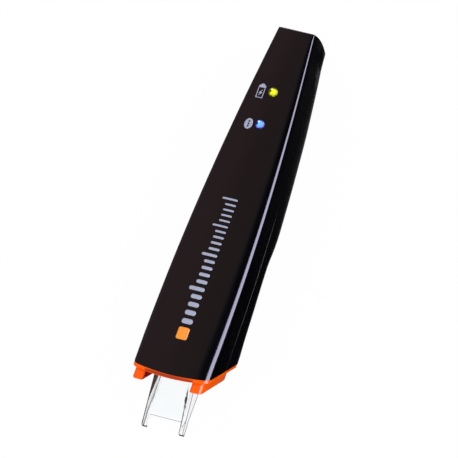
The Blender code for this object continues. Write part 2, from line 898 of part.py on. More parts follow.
def build_bezel(material):
    outer = -FLANGE_THICKNESS / math.cos(HEAD_SLANT) - RIM_GAP
    flange = bmesh.new()
    rings = []
    for offset, inset in (
        (outer, FLANGE_INSET + FLANGE_CHAMFER),
        (outer + FLANGE_CHAMFER, FLANGE_INSET),
        (-RIM_GAP, FLANGE_INSET),
    ):
        rings.append(add_ring(flange, head_ring(offset, inset)))
    for first, second in zip(rings, rings[1:]):
        bridge(flange, first, second)
    bowed_cap(flange, rings[0], outer)
    bowed_cap(flange, rings[-1], -RIM_GAP)
    bezel = mesh_object("nose_bezel", flange, material)

    skirt = bmesh.new()
    walls = []
    for inset in (WALL + FIT_GAP / 2, WALL + FIT_GAP / 2 + SKIRT_WALL):
        pair = []
        for offset in (outer / 2, SKIRT_LENGTH):
            pair.append(add_ring(skirt, head_ring(offset, inset)))
        walls.append(pair)
    for pair in walls:
        bridge(skirt, pair[0], pair[1])
    for end in (0, 1):
        bridge(skirt, walls[0][end], walls[1][end])
    combine(bezel, "UNION", mesh_object("skirt", skirt))

    for side in (-1, 1):
        corners = (
            (side * LUG_INNER, LUG_FRONT),
            (side * LUG_OUTER, LUG_FRONT),
            (side * LUG_OUTER, LUG_BACK),
            (side * LUG_INNER, LUG_BACK),
        )
        radii = (0, LUG_FRONT_ROUND, LUG_BACK_ROUND, 0)
        ends = (
            (slanted(-LUG_REACH), LUG_CHAMFER),
            (slanted(LUG_CHAMFER - LUG_REACH), 0.0),
            (slanted(outer / 2), 0.0),
        )
        lug = along_prism(rounded_outline(corners, radii, 5), ends)
        combine(bezel, "UNION", mesh_object("lug", lug))
    corners = (
        (-MOUTH_HALF_WIDTH, MOUTH_FRONT),
        (MOUTH_HALF_WIDTH, MOUTH_FRONT),
        (MOUTH_HALF_WIDTH, MOUTH_BACK),
        (-MOUTH_HALF_WIDTH, MOUTH_BACK),
    )
    outline = rounded_outline(corners, [FIT_GAP] * 4, 2)
    ends = ((slanted(-LUG_REACH), 0.0), (slanted(LUG_REACH), 0.0))
    combine(bezel, "DIFFERENCE", mesh_object("mouth", along_prism(outline, ends)))
    return bezel


def build_light_guide(material):
    bm = bmesh.new()
    corners = (
        (GUIDE_INNER_END, GUIDE_FRONT),
        (GUIDE_BEND, GUIDE_FRONT),
        (-TIP_REACH, AXIS_DEPTH + FOOT_FRONT_DROP),
        (-TIP_REACH, AXIS_DEPTH + FOOT_BACK_DROP),
        (-FOOT_KINK, AXIS_DEPTH + FOOT_KINK_DROP),
        (-FOOT_NECK, GUIDE_BACK),
        (GUIDE_INNER_END, GUIDE_BACK),
    )
    radii = (0, 0, FOOT_ROUND, FOOT_ROUND, 0, 0, 0)
    add_prism(bm, rounded_outline(corners, radii), -GUIDE_HALF_WIDTH, GUIDE_HALF_WIDTH)
    origin = place(0.0, 0.0, AXIS_DEPTH)
    guide = mesh_object("light_guide", bm, material, origin)

    ledge = bmesh.new()
    outline = []
    front = AXIS_DEPTH - LEDGE_RISE
    back = AXIS_DEPTH + LEDGE_DROP
    for depth in (front, back):
        outline.append((slanted(FIT_GAP)(depth), depth))
    for depth in (back, front):
        outline.append((slanted(FIT_GAP + LEDGE_THICKNESS)(depth), depth))
    add_prism(ledge, outline, -LEDGE_HALF_WIDTH, LEDGE_HALF_WIDTH)
    combine(guide, "UNION", mesh_object("ledge", ledge))

    slope = (AXIS_DEPTH + FOOT_FRONT_DROP - GUIDE_FRONT) / (GUIDE_BEND + TIP_REACH)
    front = GUIDE_FRONT + GUIDE_WALL
    end = GUIDE_WALL - NOTCH_TOP
    deep = GUIDE_FRONT + (GUIDE_BEND - end) * slope + GUIDE_WALL * math.hypot(1.0, slope)
    corners = (
        (GUIDE_INNER_END + GUIDE_WALL, front),
        (GUIDE_BEND, front),
        (end, deep),
        (end, GUIDE_BACK - GUIDE_WALL),
        (GUIDE_INNER_END + GUIDE_WALL, GUIDE_BACK - GUIDE_WALL),
    )
    hollow = bmesh.new()
    add_prism(hollow, corners, -NOTCH_HALF_WIDTH, NOTCH_HALF_WIDTH)
    combine(guide, "DIFFERENCE", mesh_object("hollow", hollow))

    notch = bmesh.new()
    half = NOTCH_HALF_WIDTH
    low = -TIP_REACH - WALL
    corners = ((-half, low), (half, low), (half, -NOTCH_TOP), (-half, -NOTCH_TOP))
    outline = rounded_outline(corners, (0, 0, NOTCH_ROUND, NOTCH_ROUND))
    rings = []
    for depth in (0.0, BODY_DEPTH):
        rings.append([notch.verts.new(place(x, along, depth)) for x, along in outline])
    bridge(notch, rings[0], rings[1])
    for ring in rings:
        notch.faces.new(ring)
    combine(guide, "DIFFERENCE", mesh_object("notch", notch))
    return guide


def build_carrier(material):
    half = CARRIER_HALF_HEIGHT
    low = (-CARRIER_HALF_WIDTH, CARRIER_START, AXIS_DEPTH - half)
    high = (CARRIER_HALF_WIDTH, CARRIER_END, AXIS_DEPTH + half)
    origin = place(0.0, CARRIER_START, AXIS_DEPTH)
    carrier = mesh_object("tip_carrier", box(low, high), material, origin)
    half = TAB_HALF_WIDTH
    upper = box((-half, CARRIER_START, AXIS_DEPTH - TAB_REACH), (half, CARRIER_END, AXIS_DEPTH))
    combine(carrier, "UNION", mesh_object("upper_tab", upper))
    low = (-half, CARRIER_END - LOWER_TAB_LENGTH, AXIS_DEPTH)
    high = (LOWER_TAB_SIDE, CARRIER_END, AXIS_DEPTH + TAB_REACH)
    combine(carrier, "UNION", mesh_object("lower_tab", box(low, high)))

    holes = bmesh.new()
    gap = FIT_GAP / 2
    pocket = GUIDE_HALF_WIDTH + gap
    end = GUIDE_INNER_END + gap
    low = (-pocket, CARRIER_START - WALL, GUIDE_FRONT - gap)
    add_box(holes, low, (pocket, end, GUIDE_BACK + gap))
    radius = PIN_RADIUS + FIT_GAP
    profile = ((radius, CARRIER_START - WALL), (radius, CARRIER_END + WALL))
    for side in (-1, 1):
        depth = AXIS_DEPTH + side * PIN_OFFSET
        add_lathe(holes, 0.0, profile, REARWARD, depth, SMALL_CIRCLE_STEPS)
    combine(carrier, "DIFFERENCE", mesh_object("holes", holes))
    lip = CARRIER_LIP
    low = (lip - pocket, CARRIER_START, GUIDE_FRONT + lip)
    high = (pocket - lip, CARRIER_END + WALL, GUIDE_BACK - lip)
    combine(carrier, "DIFFERENCE", mesh_object("view", box(low, high)))
    return carrier


def build_spring(name, side, material):
    """A coil round one of the chassis pins, between the carrier and the bulkhead."""
    depth = AXIS_DEPTH + side * PIN_OFFSET
    first = CARRIER_END + SPRING_END_GAP + SPRING_WIRE
    last = BULKHEAD_START - SPRING_END_GAP - SPRING_WIRE
    count = SPRING_TURNS * SPRING_TURN_STEPS
    path = []
    for step in range(count + 1):
        angle = 2 * math.pi * step / SPRING_TURN_STEPS
        along = first + (last - first) * step / count
        x = SPRING_RADIUS * math.cos(angle)
        path.append(place(x, along, depth + SPRING_RADIUS * math.sin(angle)))
    bm = bmesh.new()
    add_sweep(bm, path, SPRING_WIRE, SPRING_WIRE_STEPS)
    return mesh_object(name, bm, material, place(0.0, BULKHEAD_START, depth))


def build_chassis(material):
    start = BULKHEAD_START
    end = BULKHEAD_START + BULKHEAD_THICKNESS
    half = BULKHEAD_HALF_WIDTH
    chassis = mesh_object(
        "scan_chassis",
        box((-half, start, BULKHEAD_FRONT), (half, end, BODY_DEPTH - BULKHEAD_BACK_MARGIN)),
        material,
    )
    seat = AXIS_DEPTH - RAIL_HALF_HEIGHT
    for side in (-1, 1):
        inner = sorted((side * RAIL_INNER, side * half))
        low = (inner[0], (start + end) / 2, seat)
        rail = box(low, (inner[1], RAIL_END, AXIS_DEPTH + RAIL_HALF_HEIGHT))
        combine(chassis, "UNION", mesh_object("rail", rail))
        inner = sorted((side * EAR_INNER, side * (RAIL_INNER + half) / 2))
        low = (inner[0], EAR_PLACE - EAR_LENGTH / 2, seat)
        high = (inner[1], EAR_PLACE + EAR_LENGTH / 2, seat + EAR_THICKNESS)
        combine(chassis, "UNION", mesh_object("ear", box(low, high)))
    pins = bmesh.new()
    for side in (-1, 1):
        profile = ((PIN_RADIUS, start - PIN_LENGTH), (PIN_RADIUS, (start + end) / 2))
        depth = AXIS_DEPTH + side * PIN_OFFSET
        add_lathe(pins, 0.0, profile, REARWARD, depth, SMALL_CIRCLE_STEPS)
    combine(chassis, "UNION", mesh_object("pins", pins))

    holes = bmesh.new()
    radius = BARREL_RADIUS + SEAT_GAP
    add_lathe(holes, 0.0, ((radius, start - WALL), (radius, end + WALL)), REARWARD, AXIS_DEPTH)
    small = SMALL_SCREW_RADIUS + SEAT_GAP
    for side in (-1, 1):
        profile = ((small, seat - WALL), (small, seat + 2 * WALL))
        add_lathe(holes, side * CHASSIS_SCREW_X, profile, UP, EAR_PLACE, SMALL_CIRCLE_STEPS)
        length = SENSOR_BOARD_THICKNESS - SMALL_SCREW_LENGTH - FIT_GAP
        profile = ((small, RAIL_END + length), (small, RAIL_END + WALL))
        add_lathe(holes, side * SENSOR_SCREW_X, profile, REARWARD, AXIS_DEPTH, SMALL_CIRCLE_STEPS)
    combine(chassis, "DIFFERENCE", mesh_object("holes", holes))
    return chassis


def build_lamp_board(material):
    end = BULKHEAD_START - SEAT_GAP
    start = end - LAMP_BOARD_THICKNESS
    half = LAMP_BOARD_HALF_WIDTH
    tall = LAMP_BOARD_HALF_HEIGHT
    low = (-half, start, AXIS_DEPTH - tall)
    board = mesh_object("lamp_board", box(low, (half, end, AXIS_DEPTH + tall)), material)
    radius = BARREL_RADIUS + WINDOW_GAP
    hole = bmesh.new()
    profile = ((radius, start - WALL), (radius, end + WALL))
    add_lathe(hole, 0.0, profile, REARWARD, AXIS_DEPTH)
    combine(board, "DIFFERENCE", mesh_object("hole", hole))
    return board


def build_reading_lamps(material):
    end = BULKHEAD_START - 2 * SEAT_GAP - LAMP_BOARD_THICKNESS
    half = LAMP_SIZE / 2
    for side, name in SIDES:
        x = side * LAMP_X
        low = (x - half, end - LAMP_HEIGHT, AXIS_DEPTH - half)
        lamp = box(low, (x + half, end, AXIS_DEPTH + half))
        mesh_object("reading_lamp_" + name, lamp, material)


def build_barrel(material):
    half = STOP_THICKNESS / 2
    profile = (
        (BARREL_RADIUS, BARREL_START),
        (BARREL_RADIUS, BARREL_END),
        (BARREL_BORE, BARREL_END),
        (BARREL_BORE, STOP_PLACE + half),
        (STOP_RADIUS, STOP_PLACE + half),
        (STOP_RADIUS, STOP_PLACE - half),
        (BARREL_BORE, STOP_PLACE - half),
        (BARREL_BORE, BARREL_START),
    )
    bm = bmesh.new()
    add_tube(bm, 0.0, profile, REARWARD, AXIS_DEPTH)
    return mesh_object("lens_barrel", bm, material)


def build_lens(name, along, material):
    """A lens that bulges on both sides."""
    profile = [(0.0, along - LENS_EDGE / 2 - LENS_BULGE)]
    for step in range(1, LENS_STEPS + 1):
        share = step / LENS_STEPS
        bulge = LENS_BULGE * (1 - share * share)
        profile.append((LENS_RADIUS * share, along - LENS_EDGE / 2 - bulge))
    for radius, position in reversed(profile[:]):
        profile.append((radius, 2 * along - position))
    bm = bmesh.new()
    add_lathe(bm, 0.0, profile, REARWARD, AXIS_DEPTH, SMALL_CIRCLE_STEPS)
    return mesh_object(name, bm, material)


def build_sensor(board_material, chip_material):
    start = RAIL_END + SEAT_GAP
    end = start + SENSOR_BOARD_THICKNESS
    half = SENSOR_BOARD_HALF_WIDTH
    low = (-half, start, AXIS_DEPTH - SENSOR_BOARD_RISE)
    high = (half, end, AXIS_DEPTH + SENSOR_BOARD_DROP)
    board = mesh_object("sensor_board", box(low, high), board_material)
    holes = bmesh.new()
    radius = SMALL_SCREW_RADIUS + SEAT_GAP
    for side in (-1, 1):
        profile = ((radius, start - WALL), (radius, end + WALL))
        add_lathe(holes, side * SENSOR_SCREW_X, profile, REARWARD, AXIS_DEPTH, SMALL_CIRCLE_STEPS)
    combine(board, "DIFFERENCE", mesh_object("holes", holes))
    wide = SENSOR_HALF_WIDTH
    tall = SENSOR_HALF_HEIGHT
    back = start - SEAT_GAP
    low = (-wide, back - SENSOR_THICKNESS, AXIS_DEPTH - tall)
    mesh_object("image_sensor", box(low, (wide, back, AXIS_DEPTH + tall)), chip_material)


def build_switch(body_material, plunger_material):
    end = BULKHEAD_START - SEAT_GAP
    wide = SWITCH_HALF_WIDTH
    tall = SWITCH_HALF_HEIGHT
    low = (SWITCH_X - wide, SWITCH_START, SWITCH_DEPTH - tall)
    high = (SWITCH_X + wide, end, SWITCH_DEPTH + tall)
    body = mesh_object("tip_switch", box(low, high), body_material)
    bore = bmesh.new()
    profile = ((PLUNGER_BORE, SWITCH_START - WALL), (PLUNGER_BORE, PLUNGER_END + TIP_TRAVEL + FIT_GAP))
    add_lathe(bore, SWITCH_X, profile, REARWARD, SWITCH_DEPTH, SMALL_CIRCLE_STEPS)
    combine(body, "DIFFERENCE", mesh_object("bore", bore))
    plunger = bmesh.new()
    profile = ((PLUNGER_RADIUS, PLUNGER_START), (PLUNGER_RADIUS, PLUNGER_END))
    add_lathe(plunger, SWITCH_X, profile, REARWARD, SWITCH_DEPTH, SMALL_CIRCLE_STEPS)
    origin = place(SWITCH_X, PLUNGER_START, SWITCH_DEPTH)
    mesh_object("switch_plunger", plunger, plunger_material, origin)


def build_main_board(material):
    half_outline = []
    for step in range(BOARD_EDGE_STEPS + 1):
        along = BOARD_START + (BOARD_END - BOARD_START) * step / BOARD_EDGE_STEPS
        half_outline.append((half_width(along) - WALL - BOARD_MARGIN, along))
    outline = half_outline + [(-x, along) for x, along in reversed(half_outline)]
    bm = bmesh.new()
    rings = []
    for depth in (BOARD_DEPTH, BOARD_DEPTH + BOARD_THICKNESS):
        rings.append([bm.verts.new(place(x, along, depth)) for x, along in outline])
    bridge(bm, rings[0], rings[1])
    for ring in rings:
        bm.faces.new(ring)
    board = mesh_object("main_board", bm, material)
    holes = bmesh.new()
    span = (BOARD_DEPTH - WALL, BOARD_DEPTH + BOARD_THICKNESS + WALL)
    for along in SCREW_PLACES:
        radius = UPPER_BOSS_RADIUS + WINDOW_GAP
        add_lathe(holes, 0.0, ((radius, span[0]), (radius, span[1])), UP, along)
    radius = SMALL_SCREW_RADIUS + SEAT_GAP
    for side in (-1, 1):
        profile = ((radius, span[0]), (radius, span[1]))
        add_lathe(holes, side * BOARD_SCREW_X, profile, UP, BOARD_SCREW_PLACE, SMALL_CIRCLE_STEPS)
    combine(board, "DIFFERENCE", mesh_object("holes", holes))
    return board


def build_board_parts(chip_material, metal_material, board_material):
    under = BOARD_DEPTH + BOARD_THICKNESS + SEAT_GAP
    over = BOARD_DEPTH - SEAT_GAP
    half = PROCESSOR_HALF
    low = (-half, CHIP_PLACE - half, under)
    high = (half, CHIP_PLACE + half, under + CHIP_HEIGHT)
    mesh_object("processor_chip", box(low, high), chip_material)
    low = (-MEMORY_HALF_WIDTH, CHIP_PLACE - MEMORY_HALF_LENGTH, over - CHIP_HEIGHT)
    high = (MEMORY_HALF_WIDTH, CHIP_PLACE + MEMORY_HALF_LENGTH, over)
    mesh_object("memory_chip", box(low, high), chip_material)

    wide = RADIO_HALF_WIDTH
    tall = RADIO_HALF_LENGTH
    low = (-wide, RADIO_PLACE - tall, over - RADIO_BOARD_THICKNESS)
    mesh_object("radio_board", box(low, (wide, RADIO_PLACE + tall, over)), board_material)
    seat = over - RADIO_BOARD_THICKNESS - SEAT_GAP
    margin = SHIELD_MARGIN
    wall = SHIELD_WALL
    low = (margin - wide, RADIO_PLACE - tall + margin, seat - SHIELD_HEIGHT)
    high = (wide - margin, RADIO_PLACE + tall - margin, seat)
    shield = mesh_object("radio_shield", box(low, high), metal_material)
    low = (low[0] + wall, low[1] + wall, low[2] + wall)
    high = (high[0] - wall, high[1] - wall, high[2] + WALL)
    combine(shield, "DIFFERENCE", mesh_object("hollow", box(low, high)))


def build_status_window(name, x, along, lamp_name, material, lamp_material):
    """A round domed window in the printed face, and the lamp on the board behind it."""
    surface = face_depth(x, along)
    rim = surface - WINDOW_RISE
    inside = surface + WALL + 3 * SEAT_GAP
    lamp_top = BOARD_DEPTH - SEAT_GAP - DIODE_HEIGHT
    profile = [(0.0, rim - WINDOW_DOME)]
    for step in range(1, LENS_STEPS + 1):
        angle = math.pi / 2 * step / LENS_STEPS
        profile.append((WINDOW_RADIUS * math.sin(angle), rim - WINDOW_DOME * math.cos(angle)))
    profile += [
        (WINDOW_RADIUS, inside),
        (WINDOW_FLANGE, inside),
        (WINDOW_FLANGE, inside + WINDOW_FLANGE_HEIGHT),
        (WINDOW_PIPE_RADIUS, inside + WINDOW_FLANGE_HEIGHT),
        (WINDOW_PIPE_RADIUS, lamp_top - WINDOW_PIPE_GAP),
    ]
    bm = bmesh.new()
    add_lathe(bm, x, profile, UP, along)
    mesh_object(name, bm, material)
    low = (x - DIODE_HALF_WIDTH, along - DIODE_HALF_LENGTH, lamp_top)
    high = (x + DIODE_HALF_WIDTH, along + DIODE_HALF_LENGTH, BOARD_DEPTH - SEAT_GAP)
    mesh_object(lamp_name, box(low, high), lamp_material)


def build_battery(cell_material, pad_material, plug_material, lead_material):
    wide = CELL_HALF_WIDTH
    corners = (
        (-wide, CELL_FRONT),
        (wide, CELL_FRONT),
        (wide, CELL_FRONT + CELL_THICKNESS),
        (-wide, CELL_FRONT + CELL_THICKNESS),
    )
    outline = rounded_outline(corners, [CELL_ROUND] * 4)
    ends = ((lambda depth: CELL_START, 0.0), (lambda depth: CELL_END, 0.0))
    mesh_object("battery_cell", along_prism(outline, ends), cell_material)
    low = (-PAD_HALF_WIDTH, PAD_START, BOARD_DEPTH + BOARD_THICKNESS + SEAT_GAP)
    high = (PAD_HALF_WIDTH, PAD_END, CELL_FRONT - SEAT_GAP)
    mesh_object("battery_pad", box(low, high), pad_material)
    under = BOARD_DEPTH + BOARD_THICKNESS + SEAT_GAP
    low = (-PLUG_HALF_WIDTH, PLUG_START, under)
    high = (PLUG_HALF_WIDTH, PLUG_START + PLUG_LENGTH, under + PLUG_HEIGHT)
    mesh_object("battery_plug", box(low, high), plug_material)
    plug_middle = PLUG_START + PLUG_LENGTH / 2
    plug_under = under + PLUG_HEIGHT
    bend = LEAD_BEND
    lead_depth = CELL_FRONT + LEAD_INSET
    for side, name in SIDES:
        x = side * LEAD_X
        path = [place(x, CELL_END + SEAT_GAP, lead_depth)]
        centre = (plug_middle - bend, lead_depth - bend)
        for step in range(LEAD_STEPS + 1):
            angle = math.pi / 2 * step / LEAD_STEPS
            along = centre[0] + bend * math.sin(angle)
            path.append(place(x, along, centre[1] + bend * math.cos(angle)))
        path.append(place(x, plug_middle, plug_under + SEAT_GAP))
        lead = bmesh.new()
        add_sweep(lead, path, LEAD_RADIUS, LEAD_SIDES)
        mesh_object("battery_lead_" + name, lead, lead_material)


def build_ribbon(ribbon_material, connector_material):
    half = CONNECTOR_HALF_WIDTH
    under = BOARD_DEPTH + BOARD_THICKNESS + SEAT_GAP
    behind = RAIL_END + 2 * SEAT_GAP + SENSOR_BOARD_THICKNESS
    low = (-half, RIBBON_PLACE - CONNECTOR_LENGTH / 2, under)
    high = (half, RIBBON_PLACE + CONNECTOR_LENGTH / 2, under + CONNECTOR_HEIGHT)
    mesh_object("board_connector", box(low, high), connector_material)
    low = (-half, behind, AXIS_DEPTH - CONNECTOR_LENGTH / 2)
    high = (half, behind + CONNECTOR_HEIGHT, AXIS_DEPTH + CONNECTOR_LENGTH / 2)
    mesh_object("sensor_connector", box(low, high), connector_material)
    centre = (RIBBON_PLACE - RIBBON_BEND, AXIS_DEPTH - RIBBON_BEND)
    line = [(behind + CONNECTOR_HEIGHT + SEAT_GAP, AXIS_DEPTH, REARWARD)]
    for step in range(LEAD_STEPS + 1):
        angle = math.pi / 2 * step / LEAD_STEPS
        along = centre[0] + RIBBON_BEND * math.sin(angle)
        depth = centre[1] + RIBBON_BEND * math.cos(angle)
        line.append((along, depth, (0.0, math.cos(angle), -math.sin(angle))))
    line.append((RIBBON_PLACE, under + CONNECTOR_HEIGHT + SEAT_GAP, (0.0, 0.0, -1.0)))
    outline = []
    for side in (-1, 1):
        half_thick = side * RIBBON_THICKNESS / 2
        edge = []
        for along, depth, heading in line:
            edge.append((along - heading[2] * half_thick, depth + heading[1] * half_thick))
        outline += edge if side < 0 else list(reversed(edge))
    ribbon = bmesh.new()
    add_prism(ribbon, outline, -RIBBON_HALF_WIDTH, RIBBON_HALF_WIDTH)
    mesh_object("sensor_ribbon", ribbon, ribbon_material)


def build_usb(shell_material, tongue_material):
    wide = USB_HALF_WIDTH
    front = BOARD_DEPTH + BOARD_THICKNESS + SEAT_GAP
    back = front + USB_HEIGHT
    middle = (front + back) / 2
    mouth = rear_along(front) - USB_RECESS
    corners = ((-wide, front), (wide, front), (wide, back), (-wide, back))
    outline = rounded_outline(corners, [USB_ROUND] * 4, 3)
    ends = ((lambda depth: USB_START, 0.0), (lambda depth: mouth, 0.0))
    shell = mesh_object("usb_shell", along_prism(outline, ends), shell_material)
    wall = USB_WALL
    corners = (
        (wall - wide, front + wall),
        (wide - wall, front + wall),
        (wide - wall, back - wall),
        (wall - wide, back - wall),
    )
    outline = rounded_outline(corners, [USB_ROUND - USB_WALL] * 4, 3)
    ends = ((lambda depth: USB_START - WALL, 0.0), (lambda depth: mouth + WALL, 0.0))
    combine(shell, "DIFFERENCE", mesh_object("hollow", along_prism(outline, ends)))
    gap = wall + SEAT_GAP
    low = (gap + USB_ROUND - wide, USB_START, front + gap)
    high = (wide - gap - USB_ROUND, USB_START + TONGUE_BASE_LENGTH, back - gap)
    tongue = mesh_object("usb_tongue", box(low, high), tongue_material)
    half = TONGUE_THICKNESS / 2
    low = (-TONGUE_HALF_WIDTH, USB_START + TONGUE_BASE_LENGTH / 2, middle - half)
    high = (TONGUE_HALF_WIDTH, mouth - TONGUE_RECESS, middle + half)
    combine(tongue, "UNION", mesh_object("blade", box(low, high)))


def build_case_screws(material):
    for along, name in zip(SCREW_PLACES, ("front", "rear")):
        head = SCREW_HEAD_DEPTH + SCREW_HEAD_HEIGHT
        profile = (
            (SCREW_RADIUS, SCREW_TIP_DEPTH),
            (SCREW_RADIUS, SCREW_HEAD_DEPTH),
            (SCREW_HEAD_RADIUS, SCREW_HEAD_DEPTH),
            (SCREW_HEAD_RADIUS, head),
            (DRIVE_RADIUS, head),
            (DRIVE_RADIUS, head - DRIVE_DEPTH),
        )
        bm = bmesh.new()
        add_lathe(bm, 0.0, profile, UP, along)
        mesh_object("case_screw_" + name, bm, material)


def small_screw(name, x, seat, axis, across, forwards, material):
    """A small screw whose head rests at seat, with its shank running towards forwards."""
    profile = (
        (SMALL_SCREW_RADIUS, seat + forwards * SMALL_SCREW_LENGTH),
        (SMALL_SCREW_RADIUS, seat),
        (SMALL_SCREW_HEAD, seat),
        (SMALL_SCREW_HEAD, seat - forwards * SMALL_SCREW_HEAD_HEIGHT),
    )
    bm = bmesh.new()
    add_lathe(bm, x, profile, axis, across, SMALL_CIRCLE_STEPS)
    mesh_object(name, bm, material)


def build_small_screws(material):
    board = BOARD_DEPTH + BOARD_THICKNESS + SEAT_GAP
    chassis = AXIS_DEPTH - RAIL_HALF_HEIGHT + EAR_THICKNESS + SEAT_GAP
    sensor = RAIL_END + 2 * SEAT_GAP + SENSOR_BOARD_THICKNESS
    for side, name in SIDES:
        x = side * BOARD_SCREW_X
        small_screw("board_screw_" + name, x, board, UP, BOARD_SCREW_PLACE, -1, material)
        x = side * CHASSIS_SCREW_X
        small_screw("chassis_screw_" + name, x, chassis, UP, EAR_PLACE, -1, material)
        x = side * SENSOR_SCREW_X
        small_screw("sensor_screw_" + name, x, sensor, REARWARD, AXIS_DEPTH, -1, material)


def main():
    for old in list(bpy.data.objects):
        bpy.data.objects.remove(old, do_unlink=True)
    case_front = new_material("case_front", (0.018, 0.012, 0.012), 0.32)
    case_back = new_material("case_back", (0.016, 0.012, 0.012), 0.36)
    nose_colour = new_material("nose", (1.0, 0.13, 0.004), 0.35)
    clear = new_material("clear_tip", (0.95, 0.97, 0.97), 0.05, clear=1.0)
    inner_plastic = new_material("inner_plastic", (0.03, 0.03, 0.03), 0.6)
    steel = new_material("steel", (0.62, 0.62, 0.60), 0.3, metallic=1.0)
    circuit = new_material("circuit_board", (0.01, 0.10, 0.04), 0.5)
    chip = new_material("chip", (0.02, 0.02, 0.022), 0.5)
    lens = new_material("lens", (0.8, 0.88, 0.9), 0.03, clear=1.0)
    lamp = new_material("lamp", (0.9, 0.9, 0.75), 0.3)
    yellow = new_material("yellow_window", (0.85, 0.85, 0.02), 0.15)
    blue = new_material("blue_window", (0.05, 0.35, 1.0), 0.15)
    foil = new_material("battery_foil", (0.55, 0.56, 0.58), 0.35, metallic=0.8)
    foam = new_material("foam", (0.05, 0.05, 0.05), 0.95)
    white_plastic = new_material("white_plastic", (0.75, 0.74, 0.68), 0.5)
    amber = new_material("ribbon", (0.45, 0.22, 0.03), 0.4)
    red = new_material("lead", (0.5, 0.02, 0.02), 0.5)

    build_upper_shell(case_front)
    build_lower_shell(case_back)
    build_bezel(nose_colour)
    build_light_guide(clear)
    build_carrier(inner_plastic)
    build_spring("upper_spring", -1, steel)
    build_spring("lower_spring", 1, steel)
    build_chassis(inner_plastic)
    build_lamp_board(circuit)
    build_reading_lamps(lamp)
    build_barrel(chip)
    build_lens("front_lens", BARREL_START + FRONT_LENS_INSET, lens)
    build_lens("rear_lens", BARREL_END - REAR_LENS_INSET, lens)
    build_sensor(circuit, chip)
    build_switch(chip, white_plastic)
    build_main_board(circuit)
    build_board_parts(chip, steel, circuit)
    build_status_window("charge_window", CHARGE_X, CHARGE_PLACE, "charge_lamp", yellow, lamp)
    build_status_window("link_window", LINK_X, LINK_PLACE, "link_lamp", blue, lamp)
    build_battery(foil, foam, white_plastic, red)
    build_ribbon(amber, white_plastic)
    build_usb(steel, chip)
    build_case_screws(steel)
    build_small_screws(steel)


main()
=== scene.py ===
"""Looks of a hand-held scanning pen that lies on its back on a pale floor."""

import math

import bmesh
import bpy
from mathutils import Matrix, Vector
from mathutils.bvhtree import BVHTree


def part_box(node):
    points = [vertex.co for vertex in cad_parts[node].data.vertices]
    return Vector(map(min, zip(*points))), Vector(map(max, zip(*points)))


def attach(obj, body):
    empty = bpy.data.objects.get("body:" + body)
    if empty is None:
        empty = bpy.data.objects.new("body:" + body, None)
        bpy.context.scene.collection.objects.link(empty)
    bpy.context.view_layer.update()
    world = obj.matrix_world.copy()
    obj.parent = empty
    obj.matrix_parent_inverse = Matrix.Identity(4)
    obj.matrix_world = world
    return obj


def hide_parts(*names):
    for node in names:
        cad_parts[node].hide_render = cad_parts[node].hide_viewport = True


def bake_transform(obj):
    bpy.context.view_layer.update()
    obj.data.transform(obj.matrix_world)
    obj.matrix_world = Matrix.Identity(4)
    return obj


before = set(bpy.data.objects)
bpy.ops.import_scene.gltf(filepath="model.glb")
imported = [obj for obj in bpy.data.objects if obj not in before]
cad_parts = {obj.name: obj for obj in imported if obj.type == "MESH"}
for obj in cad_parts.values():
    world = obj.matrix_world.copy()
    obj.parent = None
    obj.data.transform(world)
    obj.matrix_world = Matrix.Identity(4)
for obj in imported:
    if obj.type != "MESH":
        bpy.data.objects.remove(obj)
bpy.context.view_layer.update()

bl_info = {
    "name": "Scanning Pen",
    "version": (1, 0, 0),
    "blender": (4, 5, 0),
    "location": "3D View > Sidebar > Pen",
    "description": "Finishes, prints and lights a hand-held scanning pen",
    "category": "Object",
}

# Nodes that share one finish
INNER_PLASTIC = ("tip_carrier", "scan_chassis")
BOARDS = ("main_board", "sensor_board", "lamp_board", "radio_board")
DARK_RESIN = ("processor_chip", "memory_chip", "image_sensor", "tip_switch", "lens_barrel", "usb_tongue")
WHITE_PLASTIC = ("battery_plug", "board_connector", "sensor_connector", "switch_plunger")
LAMPS = ("reading_lamp_left", "reading_lamp_right", "charge_lamp", "link_lamp")
LENSES = ("front_lens", "rear_lens")
SPRINGS = ("upper_spring", "lower_spring")
SCREWS = tuple(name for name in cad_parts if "_screw_" in name)
LEADS = ("battery_lead_left", "battery_lead_right")

# From the face's front edge back to the middle of the charge window
WINDOW_ALONG = 0.09594
WINDOW_RADIUS = 0.00145

# The plane of the scanning end: how far it runs back per unit of depth, and where it crosses Z = 0
HEAD_SLOPE = 0.7319
HEAD_FRONT = -0.03807

# From the pen's middle to the inner side of each lug
LUG_INNER = 0.0073

# Stretches along the case: its front, where the gloss is a little worn, the lower shell's paler rear,
# and where the painted highlight on the parting edge sets in and ends
WORN_FRONT = (-0.042, -0.012)
PALER_REAR = (-0.015, 0.040)
EDGE_HIGHLIGHT_START = (-0.050, -0.010)
EDGE_HIGHLIGHT_END = (-0.002, 0.012)

# The clear tip, counted back from its feet: where its front wall starts to fall, and how steeply
TIP_FALL_START = 0.01725
TIP_FALL = 0.4075

# The depth of the notch between the feet, and half the width at the outer edges of the two legs
NOTCH = 0.00349
LEG_EDGE = 0.0063

# The painted dark line inside each leg: its place at the feet, and how much it leans inwards above the
# notch
RIB_PLACE = 0.0052
RIB_LEAN = 0.07

# Stretches of the legs, counted back from the feet, over which a painted line or painted colour sets in or
# fades
RED_ROOT = (0.005, 0.016)
WEDGE_START = (0.005, 0.007)
HEAVY_START = (0.0056, 0.0068)
HEAVY_END = (0.0098, 0.0120)
LEFT_FADE = (0.0055, 0.0075)
RIGHT_FADE = (0.0110, 0.0130)
SPOTS_END = (0.0030, 0.0042)
FOOT_END = (0.0003, 0.00045)

# Radius of the spring wire, and the share of a spring's length that each closed end takes
SPRING_WIRE = 0.0002
SPRING_END_SHARE = 0.08

# Longest edge in a patch of ink, so that it follows the curve of the face
INK_EDGE = 0.0005

